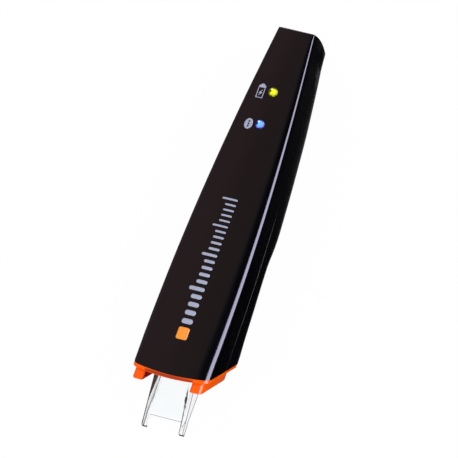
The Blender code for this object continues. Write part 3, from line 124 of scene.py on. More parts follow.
# The camera: its right, the way from the pen to it, the place that it looks at, and its lens shift
CAMERA_RIGHT = (0.9398, 0.3194, -0.1215)
CAMERA_AWAY = (0.2479, -0.3928, 0.8856)
CAMERA_AIM = (0.0, -0.013452, 0.025)
CAMERA_SHIFT = (0.0283, 0.0430)


class PenFinish(bpy.types.PropertyGroup):
    """Colours and gloss of the pen's own parts."""

    face_colour: bpy.props.FloatVectorProperty(
        name="Face", description="Plastic of the printed face",
        subtype="COLOR", size=3, min=0, max=1, default=(0.0030, 0.0018, 0.0020),
    )
    side_colour: bpy.props.FloatVectorProperty(
        name="Sides", description="Plastic of the sides of both shells",
        subtype="COLOR", size=3, min=0, max=1, default=(0.0010, 0.0010, 0.0022),
    )
    back_colour: bpy.props.FloatVectorProperty(
        name="Back", description="Plastic of the flat back",
        subtype="COLOR", size=3, min=0, max=1, default=(0.0080, 0.0048, 0.0048),
    )
    nose_colour: bpy.props.FloatVectorProperty(
        name="Nose", description="Plastic of the nose bezel",
        subtype="COLOR", size=3, min=0, max=1, default=(1.0, 0.114, 0.0),
    )
    ink_colour: bpy.props.FloatVectorProperty(
        name="Ink", description="Grey ink of the printed marks",
        subtype="COLOR", size=3, min=0, max=1, default=(0.34, 0.37, 0.50),
    )
    accent_colour: bpy.props.FloatVectorProperty(
        name="Accent ink", description="Bright ink of the first printed mark",
        subtype="COLOR", size=3, min=0, max=1, default=(0.90, 0.285, 0.012),
    )
    face_roughness: bpy.props.FloatProperty(
        name="Face roughness", description="Roughness of the printed face",
        subtype="FACTOR", min=0, max=1, default=0.17,
    )
    side_roughness: bpy.props.FloatProperty(
        name="Side roughness", description="Roughness of the sides and rounded edges",
        subtype="FACTOR", min=0, max=1, default=0.12,
    )
    grain: bpy.props.FloatProperty(
        name="Grain", description="Width of the grain moulded into the plastic",
        unit="LENGTH", min=0.00001, max=0.01, default=0.00022,
    )
    window_glow: bpy.props.FloatProperty(
        name="Window glow", description="Strength of the light behind the status windows",
        min=0, max=10, default=0.8,
    )


class PenPrint(bpy.types.PropertyGroup):
    """Sizes of the marks printed on the face."""

    ink_height: bpy.props.FloatProperty(
        name="Ink height", description="How far the ink stands proud of the plastic",
        unit="LENGTH", min=0, max=0.001, default=0.00002,
    )
    scale_start: bpy.props.FloatProperty(
        name="Scale start", description="Where the row of bars starts, from the front edge of the face",
        unit="LENGTH", min=0, max=0.1, default=0.0102,
    )
    scale_end: bpy.props.FloatProperty(
        name="Scale end", description="Where the row of bars ends",
        unit="LENGTH", min=0, max=0.12, default=0.0585,
    )
    scale_left: bpy.props.FloatProperty(
        name="Scale left", description="Left end of the longest bars",
        unit="LENGTH", min=-0.01, max=0.01, default=-0.0034,
    )
    scale_right: bpy.props.FloatProperty(
        name="Scale right", description="Line that every bar starts from",
        unit="LENGTH", min=-0.01, max=0.01, default=0.0014,
    )
    icon_line: bpy.props.FloatProperty(
        name="Icon line", description="Width of the drawn lines of the battery sign",
        unit="LENGTH", min=0.0001, max=0.001, default=0.00024,
    )


class PenStage(bpy.types.PropertyGroup):
    """Camera, floor and lamps."""

    camera_distance: bpy.props.FloatProperty(
        name="Camera distance", description="From the camera to the face of the pen",
        unit="LENGTH", min=0.1, max=10, default=1.2,
    )
    focal_length: bpy.props.FloatProperty(
        name="Lens", description="Focal length of the camera in millimetres",
        min=1, max=1000, default=318.2,
    )
    floor_colour: bpy.props.FloatVectorProperty(
        name="Floor", description="Colour of the floor",
        subtype="COLOR", size=3, min=0, max=1, default=(0.93, 0.93, 0.93),
    )
    floor_glow: bpy.props.FloatProperty(
        name="Floor glow", description="Share of plain white in what the camera sees of the floor",
        subtype="FACTOR", min=0, max=1, default=0.96,
    )
    ambient: bpy.props.FloatProperty(
        name="Ambient", description="Even light from all round",
        min=0, max=5, default=0.95,
    )
    ceiling: bpy.props.FloatProperty(
        name="Ceiling", description="How bright the warm ceiling over the left side looks in a reflection",
        min=0, max=5, default=0.44,
    )
    key: bpy.props.FloatProperty(
        name="Key lamp", description="Power of the large lamp above",
        unit="POWER", min=0, max=1000, default=5.0,
    )
    strip: bpy.props.FloatProperty(
        name="Strip lamp",
        description="Power of the strip lamp that draws the light line on the right edge",
        unit="POWER", min=0, max=1000, default=43.0,
    )


class Value:
    """A shader socket that can stand in a Python expression."""

    def __init__(self, nodes, socket):
        self.nodes = nodes
        self.socket = socket

    def worked(self, operation, *terms):
        """The result of a Math node on these terms."""
        sockets = {f"_{index}": term for index, term in enumerate(terms)}
        return self.nodes.node("ShaderNodeMath", 0, {"operation": operation}, **sockets)

    def __add__(self, other):
        return self.worked("ADD", self, other)

    __radd__ = __add__

    def __sub__(self, other):
        return self.worked("SUBTRACT", self, other)

    def __rsub__(self, other):
        return self.worked("SUBTRACT", other, self)

    def __mul__(self, other):
        return self.worked("MULTIPLY", self, other)

    __rmul__ = __mul__

    def __truediv__(self, other):
        return self.worked("DIVIDE", self, other)

    def __rtruediv__(self, other):
        return self.worked("DIVIDE", other, self)

    def __pow__(self, other):
        return self.worked("POWER", self, other)

    def __gt__(self, other):
        return self.worked("GREATER_THAN", self, other)

    def __abs__(self):
        return self.worked("ABSOLUTE", self)

    def most(self, other):
        """The larger of the two."""
        return self.worked("MAXIMUM", self, other)

    def smooth(self, low, high):
        """0 below low, 1 above high and a soft step between them."""
        return self.nodes.node(
            "ShaderNodeMapRange", "Result", {"interpolation_type": "SMOOTHSTEP"},
            Value=self, From_Min=low, From_Max=high,
        )


class Nodes:
    """The nodes of one tree."""

    def __init__(self, tree):
        self.tree = tree

    def feed(self, slot, value):
        """Sets a socket, or links it to a value."""
        if isinstance(value, Value):
            self.tree.links.new(value.socket, slot)
        elif slot.type == "RGBA" and len(value) == 3:
            slot.default_value = (*value, 1.0)
        else:
            slot.default_value = value

    def node(self, kind, output, settings=None, **sockets):
        """A node of this type, with its settings and then its sockets set, as the value of one output.

        Sockets are named with underscores for spaces, or by an underscore and their number. Where output
        is None, all outputs are given.
        """
        made = self.tree.nodes.new(kind)
        for name, value in (settings or {}).items():
            setattr(made, name, value)
        for name, value in sockets.items():
            slot = made.inputs[int(name[1:])] if name[1:].isdigit() else made.inputs[name.replace("_", " ")]
            self.feed(slot, value)
        if output is None:
            return [Value(self, each) for each in made.outputs]
        return Value(self, made.outputs[output])

    def mixed(self, factor, first, second):
        """A colour between first and second."""
        return self.node("ShaderNodeMix", 2, {"data_type": "RGBA"}, _0=factor, _6=first, _7=second)

    def blend(self, factor, first, second):
        """A shader between first and second."""
        return self.node("ShaderNodeMixShader", 0, _0=factor, _1=first, _2=second)

    def rays(self):
        """Two masks: camera and see-through rays, and both of those with the reflected ones."""
        path = self.node("ShaderNodeLightPath", None)
        camera, glossy, through = (
            next(value for value in path if value.socket.name == name)
            for name in ("Is Camera Ray", "Is Glossy Ray", "Is Transmission Ray")
        )
        plain = camera.most(through)
        return plain, plain.most(glossy)


class Finish(Nodes):
    """A material being made, with its shader nodes."""

    def __init__(self, name, **settings):
        self.material = bpy.data.materials.new(name)
        self.material.use_nodes = True
        super().__init__(self.material.node_tree)
        self.shader = self.tree.nodes["Principled BSDF"]
        self.set(**settings)

    def set(self, **settings):
        """Sets or links sockets of the shader, named with underscores for spaces."""
        for name, value in settings.items():
            self.feed(self.shader.inputs[name.replace("_", " ").title().replace("Ior", "IOR")], value)

    def show(self, shader):
        """Makes this shader the material's surface."""
        self.feed(self.tree.nodes["Material Output"].inputs["Surface"], shader)

    def own(self):
        """The output of the material's own shader."""
        return Value(self, self.shader.outputs[0])

    def places(self):
        """The place on the part, in metres."""
        return self.node("ShaderNodeTexCoord", "Object")

    def parts(self, vector):
        """The three numbers of a vector."""
        return self.node("ShaderNodeSeparateXYZ", None, Vector=vector)

    def facing(self):
        """The direction that the surface faces, as three numbers."""
        return self.parts(self.node("ShaderNodeTexCoord", "Normal"))

    def noise(self, size, detail=2.0, stretch=(1.0, 1.0, 1.0), roughness=0.5):
        """Noise from 0 to 1 with features of about this size."""
        place = self.node(
            "ShaderNodeVectorMath", "Vector", {"operation": "MULTIPLY"},
            _0=self.places(), _1=tuple(1 / s for s in stretch),
        )
        return self.node(
            "ShaderNodeTexNoise", "Fac",
            Vector=place, Scale=1 / size, Detail=detail, Roughness=roughness,
        )

    def cracks(self, size, **sockets):
        """The distance to the edges of irregular cells of about this size."""
        return self.node(
            "ShaderNodeTexVoronoi", "Distance", {"feature": "DISTANCE_TO_EDGE"},
            Vector=self.places(), Scale=1 / size, **sockets,
        )

    def relief(self, height, depth):
        """Bumps of this depth, in metres, in the shader's normal."""
        bumps = self.node("ShaderNodeBump", "Normal", Height=height, Strength=1.0, Distance=depth)
        self.set(Normal=bumps)


def shade(colour, factor):
    """The colour made lighter or darker."""
    return tuple(min(1.0, part * factor) for part in colour)


def smooth_group():
    """A node group that joins the facets of a CAD node and shades them smooth up to its sharp edges."""
    name = "joined and smooth"
    if name in bpy.data.node_groups:
        return bpy.data.node_groups[name]
    group = bpy.data.node_groups.new(name, "GeometryNodeTree")
    group.interface.new_socket("Geometry", in_out="INPUT", socket_type="NodeSocketGeometry")
    group.interface.new_socket("Geometry", in_out="OUTPUT", socket_type="NodeSocketGeometry")
    nodes = Nodes(group)
    shape = nodes.node("NodeGroupInput", 0)
    shape = nodes.node("GeometryNodeMergeByDistance", 0, Geometry=shape, Distance=0.000002)
    shape = nodes.node("GeometryNodeRemoveAttribute", 0, Geometry=shape, Name="custom_normal")
    shape = nodes.node("GeometryNodeSetShadeSmooth", 0, {"domain": "FACE"}, Geometry=shape)
    angle = nodes.node("GeometryNodeInputMeshEdgeAngle", 0)
    sharp = nodes.node(
        "FunctionNodeCompare", 0, {"data_type": "FLOAT", "operation": "GREATER_THAN"},
        _0=angle, _1=math.radians(30),
    )
    shape = nodes.node(
        "GeometryNodeSetShadeSmooth", 0, {"domain": "EDGE"},
        Geometry=shape, Selection=sharp, Shade_Smooth=False,
    )
    nodes.node("NodeGroupOutput", None, _0=shape)
    return group


def dress(names, finish):
    """Gives CAD nodes this finish, shaded smooth."""
    for name in names:
        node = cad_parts[name]
        node.data.materials.clear()
        node.data.materials.append(finish.material)
        if not node.modifiers:
            modifier = node.modifiers.new("joined and smooth", "NODES")
            modifier.node_group = smooth_group()


def case_finish(name, face_colour, side_colour, face_roughness, side_roughness, grain, rim=None):
    """Black plastic: a satin moulded grain on the face, polished sides, and a little wear at the front.

    Where rim, the height of the shell's parting edge, is given, the sides below it turn paler towards
    the rear, and a painted highlight runs pale along a stretch of the edge.
    """
    finish = Finish(name, IOR=1.46)
    # The face and the sides are plastics of different tone, and this mask also darkens the rounded edges as
    # they turn away from the face: a painted shade
    face = abs(finish.facing()[2]).smooth(0.972, 0.998)
    y, z = finish.parts(finish.places())[1:]
    worn = 1 - y.smooth(*WORN_FRONT)
    fine = finish.noise(grain, 2.0)
    cloud = finish.noise(0.016, 3.0, stretch=(1.0, 2.2, 1.0))
    swirl = finish.noise(0.0022, 4.0, roughness=0.65)
    dark = finish.mixed(face, shade(side_colour, 0.8), shade(face_colour, 0.86))
    light = finish.mixed(face, shade(side_colour, 1.25), shade(face_colour, 1.14))
    colour = finish.mixed(cloud.smooth(0.3, 0.7), dark, light)
    if rim is not None:
        # The sides below the parting edge turn paler towards the rear and away from the edge
        haze = y.smooth(*PALER_REAR) * (1 - z.smooth(rim - 0.011, rim - 0.001)) * (0.7 + 0.3 * cloud)
        colour = finish.mixed(haze, colour, (0.015, 0.0115, 0.0115))
        # A painted highlight: the parting edge is painted pale along a stretch near the front
        highlight_stretch = y.smooth(*EDGE_HIGHLIGHT_START) * (1 - y.smooth(*EDGE_HIGHLIGHT_END))
        painted_edge_highlight = z.smooth(rim - 0.0005, rim - 0.0003) * highlight_stretch * (0.4 + 0.6 * cloud.smooth(0.3, 0.7))
        colour = finish.mixed(painted_edge_highlight, colour, (0.13, 0.13, 0.14))
    finish.set(
        Base_Color=colour,
        Roughness=(
            side_roughness
            + (face_roughness - side_roughness) * face
            + 0.03 * worn * (1 - face)
            + 0.05 * (cloud - 0.5)
            + 0.05 * (swirl - 0.5)
            + 0.06 * (fine - 0.5) * face
        ),
    )
    finish.relief(fine * (0.15 + 0.85 * face), 0.000002)
    return finish


class PEN_OT_case(bpy.types.Operator):
    """Finishes the two shells of the case"""

    bl_idname = "pen.case"
    bl_label = "Case"

    def execute(self, context):
        look = context.scene.pen_finish
        front = case_finish(
            "case front plastic", look.face_colour, look.side_colour,
            look.face_roughness, look.side_roughness, look.grain,
        )
        back = case_finish(
            "case back plastic", look.back_colour, look.side_colour,
            look.face_roughness, look.side_roughness, look.grain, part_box("lower_shell")[1].z,
        )
        dress(["upper_shell"], front)
        dress(["lower_shell"], back)
        return {"FINISHED"}


class PEN_OT_nose(bpy.types.Operator):
    """Finishes the coloured nose bezel"""

    bl_idname = "pen.nose"
    bl_label = "Nose bezel"

    def execute(self, context):
        look = context.scene.pen_finish
        finish = Finish("nose plastic", IOR=1.46, Specular_IOR_Level=0.35)
        fine = finish.noise(look.grain, 2.0)
        cloud = finish.noise(0.006, 3.0)
        x, y, z = finish.parts(finish.places())
        across, _, up = finish.facing()
        colour = finish.mixed(cloud.smooth(0.3, 0.7), shade(look.nose_colour, 0.95), look.nose_colour)
        # Painted shade: the inner sides of the lugs and the front half of the rim between them are coloured
        # dark red
        between = 1 - abs(x).smooth(LUG_INNER + 0.00005, LUG_INNER + 0.00015)
        between = between * abs(across).smooth(0.6, 0.8)
        lip = 1 - (y + HEAD_SLOPE * z - HEAD_FRONT).smooth(0.00032, 0.00052)
        lip = lip * up.smooth(0.5, 0.7) * (1 - abs(x).smooth(LUG_INNER - 0.0003, LUG_INNER + 0.0007))
        colour = finish.mixed(lip, colour, (0.40, 0.040, 0.006))
        finish.set(
            Base_Color=finish.mixed(between, colour, (0.18, 0.003, 0.001)),
            Roughness=0.16 + 0.06 * (cloud - 0.5) + 0.04 * (fine - 0.5),
        )
        finish.relief(fine, 0.000001)
        # A dark diffuse shader blended over the lugs' inner sides, as painted shade
        painted_lug_shade = finish.node("ShaderNodeBsdfDiffuse", 0, Color=(0.24, 0.006, 0.002))
        finish.show(finish.blend(between * 0.85, finish.own(), painted_lug_shade))
        dress(["nose_bezel"], finish)
        return {"FINISHED"}


def coil(node, finish, turns=6.5, steps=22, sides=8):
    """A compression spring with closed ends, in place of this CAD node."""
    low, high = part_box(node)
    middle = (low + high) / 2
    radius = (high.x - low.x) / 2 - SPRING_WIRE
    first = low.y + SPRING_WIRE
    last = high.y - SPRING_WIRE
    count = round(turns * steps)
    closed = 1 / turns
    bm = bmesh.new()
    rings = []
    for step in range(count + 1):
        share = step / count
        rise = min(max((share - closed) / (1 - 2 * closed), 0.0), 1.0)
        ends = min(share / closed, 1.0) + max((share - 1) / closed + 1, 0.0)
        gone = (1 - 2 * SPRING_END_SHARE) * rise + SPRING_END_SHARE * ends
        along = first + (last - first) * gone
        angle = 2 * math.pi * turns * share
        outward = Vector((math.cos(angle), 0.0, math.sin(angle)))
        centre = Vector((middle.x, along, middle.z)) + outward * radius
        ring = []
        for side in range(sides):
            turn = 2 * math.pi * side / sides
            offset = outward * math.cos(turn) + Vector((0.0, math.sin(turn), 0.0))
            ring.append(bm.verts.new(centre + offset * SPRING_WIRE))
        rings.append(ring)
    for before, after in zip(rings, rings[1:]):
        for side in range(sides):
            near = (side + 1) % sides
            bm.faces.new((before[side], before[near], after[near], after[side]))
    for ring in (rings[0], rings[-1]):
        bm.faces.new(ring)
    bmesh.ops.recalc_face_normals(bm, faces=bm.faces[:])
    mesh = bpy.data.meshes.new(node + "_coil")
    bm.to_mesh(mesh)
    bm.free()
    mesh.materials.append(finish.material)
    mesh.shade_smooth()
    piece = bpy.data.objects.new(node + "_coil", mesh)
    bpy.context.scene.collection.objects.link(piece)
    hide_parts(node)
    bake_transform(piece)


class PEN_OT_tip(bpy.types.Operator):
    """Finishes the clear tip, its carrier and its springs"""

    bl_idname = "pen.tip"
    bl_label = "Clear tip"

    def execute(self, context):
        clear = Finish(
            "clear acrylic", Base_Color=(0.985, 0.993, 1.0), IOR=1.42, Transmission_Weight=1.0,
        )
        flow = clear.noise(0.003, 3.0, stretch=(1.0, 3.0, 1.0))
        clear.set(Roughness=0.01 + 0.03 * flow.smooth(0.45, 0.8))
        clear.relief(flow, 0.00001)
        self.lines(clear)
        dress(["light_guide"], clear)
        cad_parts["light_guide"].visible_shadow = False

        plastic = Finish("dark inner plastic", IOR=1.46)
        grain = plastic.noise(0.0003, 3.0)
        cloud = plastic.noise(0.005, 2.0)
        plastic.set(
            Base_Color=plastic.mixed(cloud, (0.018, 0.018, 0.019), (0.034, 0.033, 0.033)),
            Roughness=0.52 + 0.15 * (grain - 0.5),
        )
        plastic.relief(grain, 0.00001)
        dress(INNER_PLASTIC, plastic)

        wire = Finish("spring steel", Metallic=1.0)
        drawn = wire.noise(0.0004, 3.0)
        wire.set(
            Base_Color=wire.mixed(drawn, (0.46, 0.45, 0.43), (0.66, 0.65, 0.63)),
            Roughness=0.24 + 0.16 * drawn,
        )
        for name in SPRINGS:
            coil(name, wire)
        return {"FINISHED"}

    def lines(self, clear):
        """Lets the background show plainly through the tip, and paints dark lines where refraction darkens
        its moulded edges.

        rise counts back from the feet, and below counts down from the outer side of the front wall.
        """
        low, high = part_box("light_guide")
        x, y, z = clear.parts(clear.places())
        across, along = clear.facing()[:2]
        rise = y - low.y
        below = high.z - TIP_FALL * (TIP_FALL_START - rise).most(0) - z
        front = 1 - abs(below).smooth(0.00008, 0.00016)
        broken = clear.noise(0.0011, 3.0, stretch=(1.0, 2.0, 1.0))
        right = x > 0
        left = 1 - right
        root = rise.smooth(*RED_ROOT) * left

        # Painted dark lines on the outer edges of both legs, and a painted dark red wedge up the left one
        # where the shaded nose shows through
        outer = (abs(x) + 0.00008 * left).smooth(LEG_EDGE - 0.00006, LEG_EDGE + 0.00002)
        outer = outer * (1 - abs(across).smooth(0.85, 0.95))
        outer = outer * (0.65 + 0.20 * left + 0.15 * broken.smooth(0.35, 0.6))
        wedge = (abs(x) + 0.0013 * root).smooth(LEG_EDGE - 0.00004, LEG_EDGE + 0.00004)
        wedge = wedge * front * rise.smooth(*WEDGE_START) * left

        # The painted dark line inside each leg, which is broken, and heavier halfway up the right one
        rib = abs(abs(x) - RIB_PLACE + RIB_LEAN * (rise - NOTCH).most(0))
        heavy = rise.smooth(*HEAVY_START) * (1 - rise.smooth(*HEAVY_END)) * right
        width = 0.00010 + 0.00008 * right + 0.00024 * heavy * broken.smooth(0.35, 0.6)
        inner = (1 - rib.smooth(width - 0.00004, width)) * front
        fade = left * (0.3 + 0.7 * rise.smooth(*LEFT_FADE))
        fade = fade + right * (1 - 0.85 * rise.smooth(*RIGHT_FADE))
        inner = inner * fade * (0.25 + 0.30 * right + 0.40 * broken.smooth(0.4, 0.55))

        # Painted dark spots at the right foot, and painted dark lines on the front wall's end face at the
        # notch and at the ends of the feet
        painted_foot_spots = (1 - rise.smooth(*SPOTS_END)) * abs(x).smooth(0.0056, 0.0060) * front
        painted_foot_spots = painted_foot_spots * right * broken.smooth(0.50, 0.58)
        edge = (1 - abs(rise - NOTCH).smooth(0.00006, 0.00012)) * (1 - abs(x).smooth(0.0048, 0.0050))
        edge = edge * below.smooth(0.00096, 0.00102) * (1 - below.smooth(0.00134, 0.00140))
        foot = (1 - rise.smooth(*FOOT_END)) * (1 - (z - low.z).smooth(0.0012, 0.0016))

        line = outer.most(wedge * 0.95).most(inner).most(edge * 0.8)
        line = line.most(foot * 0.95).most(painted_foot_spots * 0.8)
        bare = clear.node("ShaderNodeBsdfTransparent", 0, Color=(0.985, 0.995, 1.0))
        # A dark diffuse shader, grey and dark red at the root of the left leg, draws the painted lines over
        # the clear plastic
        tint = clear.mixed(root, (0.02, 0.02, 0.025), (0.030, 0.003, 0.004))
        ink = clear.node("ShaderNodeBsdfDiffuse", 0, Color=tint)
        plain = 0.8 + 0.2 * abs(along).smooth(0.9, 0.98)
        clear.show(clear.blend(line, clear.blend(plain, clear.own(), bare), ink))


def window_finish(name, centre, radius, colours, painted_highlight_place, glow):
    """A lit window: a bright core of small facets off its middle, a softer ring, a dark notch and rim, and
    a painted highlight.
    """
    edge, ring_colour, core_colour, painted_highlight_colour = colours
    finish = Finish(name, IOR=1.5, Specular_IOR_Level=0.15)
    x, y = finish.parts(finish.places())[:2]
    x = (x - centre[0]) / radius
    y = (y - centre[1]) / radius
    wobble = finish.noise(0.0008, 2.0) - 0.5
    facets = finish.cracks(0.0009).smooth(0.0, 0.12)
    away = ((x - 0.08) ** 2 + (y + 0.04) ** 2) ** 0.5 + 0.45 * wobble
    core = 1 - away.smooth(0.56, 0.70)
    ring = (1 - away.smooth(0.84, 0.96)) * (0.25 + 0.75 * (x - y).smooth(-0.4, 0.4))

    def spot(place, inner, outer):
        """A soft round patch of the window."""
        return 1 - (((x - place[0]) ** 2 + (y - place[1]) ** 2) ** 0.5).smooth(inner, outer)

    notch = spot((-0.66, -0.08), 0.28, 0.50)
    colour = finish.mixed(ring * (1 - notch), edge, ring_colour)
    colour = finish.mixed(core * (1 - notch) * (0.6 + 0.4 * facets), colour, core_colour)
    # A painted highlight: a soft bright spot off the window's middle
    colour = finish.mixed(spot(painted_highlight_place, 0.10, 0.30) * (1 - notch), colour, painted_highlight_colour)
    finish.set(
        Base_Color=colour,
        Emission_Color=colour,
        Emission_Strength=glow,
        Roughness=0.32 + 0.1 * facets,
    )
    return finish


class PEN_OT_windows(bpy.types.Operator):
    """Finishes the two status windows and all the small lamps"""

    bl_idname = "pen.windows"
    bl_label = "Status windows"

    def execute(self, context):
        glow = context.scene.pen_finish.window_glow
        # Each window's colours: its rim, ring, core and painted highlight
        charge = ((0.045, 0.050, 0.000), (0.30, 0.31, 0.010), (0.60, 0.60, 0.004), (0.62, 0.60, 0.22))
        link = ((0.005, 0.004, 0.085), (0.120, 0.140, 0.50), (0.085, 0.36, 0.60), (0.55, 0.60, 0.62))
        for name, colours, painted_highlight_place in (
            ("charge_window", charge, (-0.30, 0.42)), ("link_window", link, (-0.22, 0.42)),
        ):
            low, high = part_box(name)
            middle = (low + high) / 2
            lens = name.replace("_", " ") + " lens"
            dress([name], window_finish(lens, middle, WINDOW_RADIUS, colours, painted_highlight_place, glow))
        lamp = Finish("lamp resin", IOR=1.5, Coat_Weight=0.6)
        dot = lamp.noise(0.0004, 2.0)
        lamp.set(
            Base_Color=lamp.mixed(dot, (0.80, 0.76, 0.45), (0.92, 0.90, 0.74)),
            Roughness=0.25 + 0.1 * dot,
        )
        dress(LAMPS, lamp)
        return {"FINISHED"}


class FaceSurface:
    """The case's surface, as seen from straight above."""

    def __init__(self):
        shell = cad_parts["upper_shell"].data
        corners = [v.co.copy() for v in shell.vertices]
        self.tree = BVHTree.FromPolygons(corners, [tuple(p.vertices) for p in shell.polygons])

    def height(self, x, y):
        """The Z of the surface at this place."""
        hit = self.tree.ray_cast(Vector((x, y, 1.0)), Vector((0.0, 0.0, -1.0)))[0]
        if hit is None:
            raise RuntimeError(f"no face under a print at {x:.4f}, {y:.4f}")
        return hit.z


def circle(centre, radius, steps, stretch=1.0):
    """The points of a circle, or of an oval that is stretched along the pen."""
    points = []
    for step in range(steps):
        angle = 2 * math.pi * step / steps
        x = radius * math.cos(angle)
        y = stretch * radius * math.sin(angle)
        points.append((centre[0] + x, centre[1] + y))
    return points


def rounded_box(low, high, radius, steps=6):
    """The points of a box with rounded corners, in order round it."""
    points = []
    for corner, start in (((1, 0), -90), ((1, 1), 0), ((0, 1), 90), ((0, 0), 180)):
        centre = [
            (high[i] - radius) if corner[i] else (low[i] + radius)
            for i in range(2)
        ]
        for step in range(steps + 1):
            angle = math.radians(start + 90 * step / steps)
            points.append((centre[0] + radius * math.cos(angle), centre[1] + radius * math.sin(angle)))
    return points


def printed(name, loops, surface, height, finish):
    """A patch of ink with this outline and these holes, laid on the case's face."""
    bm = bmesh.new()
    edges = []
    for loop in loops:
        verts = [bm.verts.new((x, y, 0.0)) for x, y in loop]
        for first, second in zip(verts, verts[1:] + verts[:1]):
            edges.append(bm.edges.new((first, second)))
    bmesh.ops.triangle_fill(bm, use_beauty=True, edges=edges)
    for _ in range(8):
        long = [edge for edge in bm.edges if edge.calc_length() > INK_EDGE]
        if not long:
            break
        bmesh.ops.subdivide_edges(bm, edges=long, cuts=1)
        bmesh.ops.triangulate(bm, faces=bm.faces[:])
    for vert in bm.verts:
        vert.co.z = surface.height(vert.co.x, vert.co.y) + height
    bmesh.ops.recalc_face_normals(bm, faces=bm.faces[:])
    if sum(face.normal.z for face in bm.faces) < 0:
        bmesh.ops.reverse_faces(bm, faces=bm.faces[:])
    mesh = bpy.data.meshes.new(name)
    bm.to_mesh(mesh)
    bm.free()
    mesh.materials.append(finish.material)
    mesh.shade_smooth()
    piece = bpy.data.objects.new(name, mesh)
    bpy.context.scene.collection.objects.link(piece)
    thickness = piece.modifiers.new("ink", "SOLIDIFY")
    thickness.thickness = height * 1.5
    thickness.offset = -1.0
    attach(piece, "case")


def along_face(along):
    """The Y of a place counted along the face from its front edge."""
    low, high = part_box("charge_window")
    return (low.y + high.y) / 2 + along - WINDOW_ALONG


def ink_finish(name, colour):
    """Pad-printed ink: slightly uneven, with pin holes that show a little of the plastic."""
    finish = Finish(name, IOR=1.48)
    speck = finish.noise(0.00012, 2.0)
    uneven = finish.noise(0.0012, 3.0)
    finish.set(
        Base_Color=finish.mixed(
            0.35 * speck.smooth(0.62, 0.75),
            finish.mixed(uneven, shade(colour, 0.88), shade(colour, 1.1)),
            shade(colour, 0.3),
        ),
        Roughness=0.42 + 0.12 * uneven,
    )
    finish.relief(speck, 0.000004)
    return finish


class PEN_OT_prints(bpy.types.Operator):
    """Prints the battery sign, the oval sign and the row of bars on the face"""

    bl_idname = "pen.prints"
    bl_label = "Printed marks"

    def execute(self, context):
        look = context.scene.pen_finish
        sizes = context.scene.pen_print
        surface = FaceSurface()
        ink = ink_finish("grey ink", look.ink_colour)
        accent = ink_finish("accent ink", look.accent_colour)
        self.battery(sizes, surface, ink)
        self.oval(sizes, surface, ink)
        self.bars(sizes, surface, ink, accent)
        return {"FINISHED"}

    def battery(self, sizes, surface, ink):
        """An upright battery with rounded shoulders and a bolt in it."""
        line = sizes.icon_line
        low = along_face(0.09312)
        high = along_face(0.09672)
        left = -0.00496
        right = -0.00272
        outer = rounded_box((left, low), (right, high), 0.00022, 3)
        inner = rounded_box((left + line, low + line), (right - line, high), 0.00010, 3)
        printed("battery_sign_outline", [outer, inner], surface, sizes.ink_height, ink)
        middle = (left + right) / 2
        half = (right - left) / 2
        cap = [(left, high + 0.00004), (right, high + 0.00004)]
        shoulder = ((1.0, 0.00048), (0.9, 0.00078), (0.55, 0.00092), (0.50, 0.00122), (0.2, 0.00138))
        for share, rise in shoulder:
            cap.append((middle + share * half, high + rise))
        cap += [(2 * middle - x, y) for x, y in reversed(cap[2:])]
        printed("battery_sign_cap", [cap], surface, sizes.ink_height, ink)
        centre = (low + high) / 2
        bolt = [
            (0.00050, 0.00120), (-0.00068, -0.00014), (-0.00010, -0.00014),
            (-0.00046, -0.00118), (0.00068, 0.00018), (0.00010, 0.00018),
        ]
        printed(
            "battery_sign_bolt", [[(middle + x, centre + y) for x, y in bolt]],
            surface, sizes.ink_height, ink,
        )

    def oval(self, sizes, surface, ink):
        """An oval badge with three dots left bare."""
        centre = (-0.00395, along_face(0.08391))
        half_width = 0.00128
        dot_radius = 0.00030
        dot_pitch = 0.00082
        loops = [circle(centre, half_width, 40, stretch=1.45)]
        for step in (-1, 0, 1):
            loops.append(circle((centre[0], centre[1] + dot_pitch * step), dot_radius, 16))
        printed("oval_sign", loops, surface, sizes.ink_height, ink)

    def bars(self, sizes, surface, ink, accent):
        """A coloured block and then a row of bars that grow thinner, every fifth one longer."""
        along = sizes.scale_start
        right = sizes.scale_right
        full = right - sizes.scale_left
        block_width = 0.0034
        block_length = 0.0040
        block = rounded_box(
            (right - block_width, along_face(along)),
            (right, along_face(along + block_length)),
            0.0006,
        )
        printed("bar_first", [block], surface, sizes.ink_height, accent)
        along += block_length + 0.0012
        width = 0.0017
        space = 0.00125
        count = 0
        while along + width < sizes.scale_end:
            tall = full if count % 5 == 4 else 0.70 * full
            bar = rounded_box(
                (right - tall, along_face(along)), (right, along_face(along + width)), 0.45 * width, 4,
            )
            printed(f"bar_{count:02d}", [bar], surface, sizes.ink_height, ink)
            along += width + space
            width = max(0.0006, width * 0.93)
            count += 1


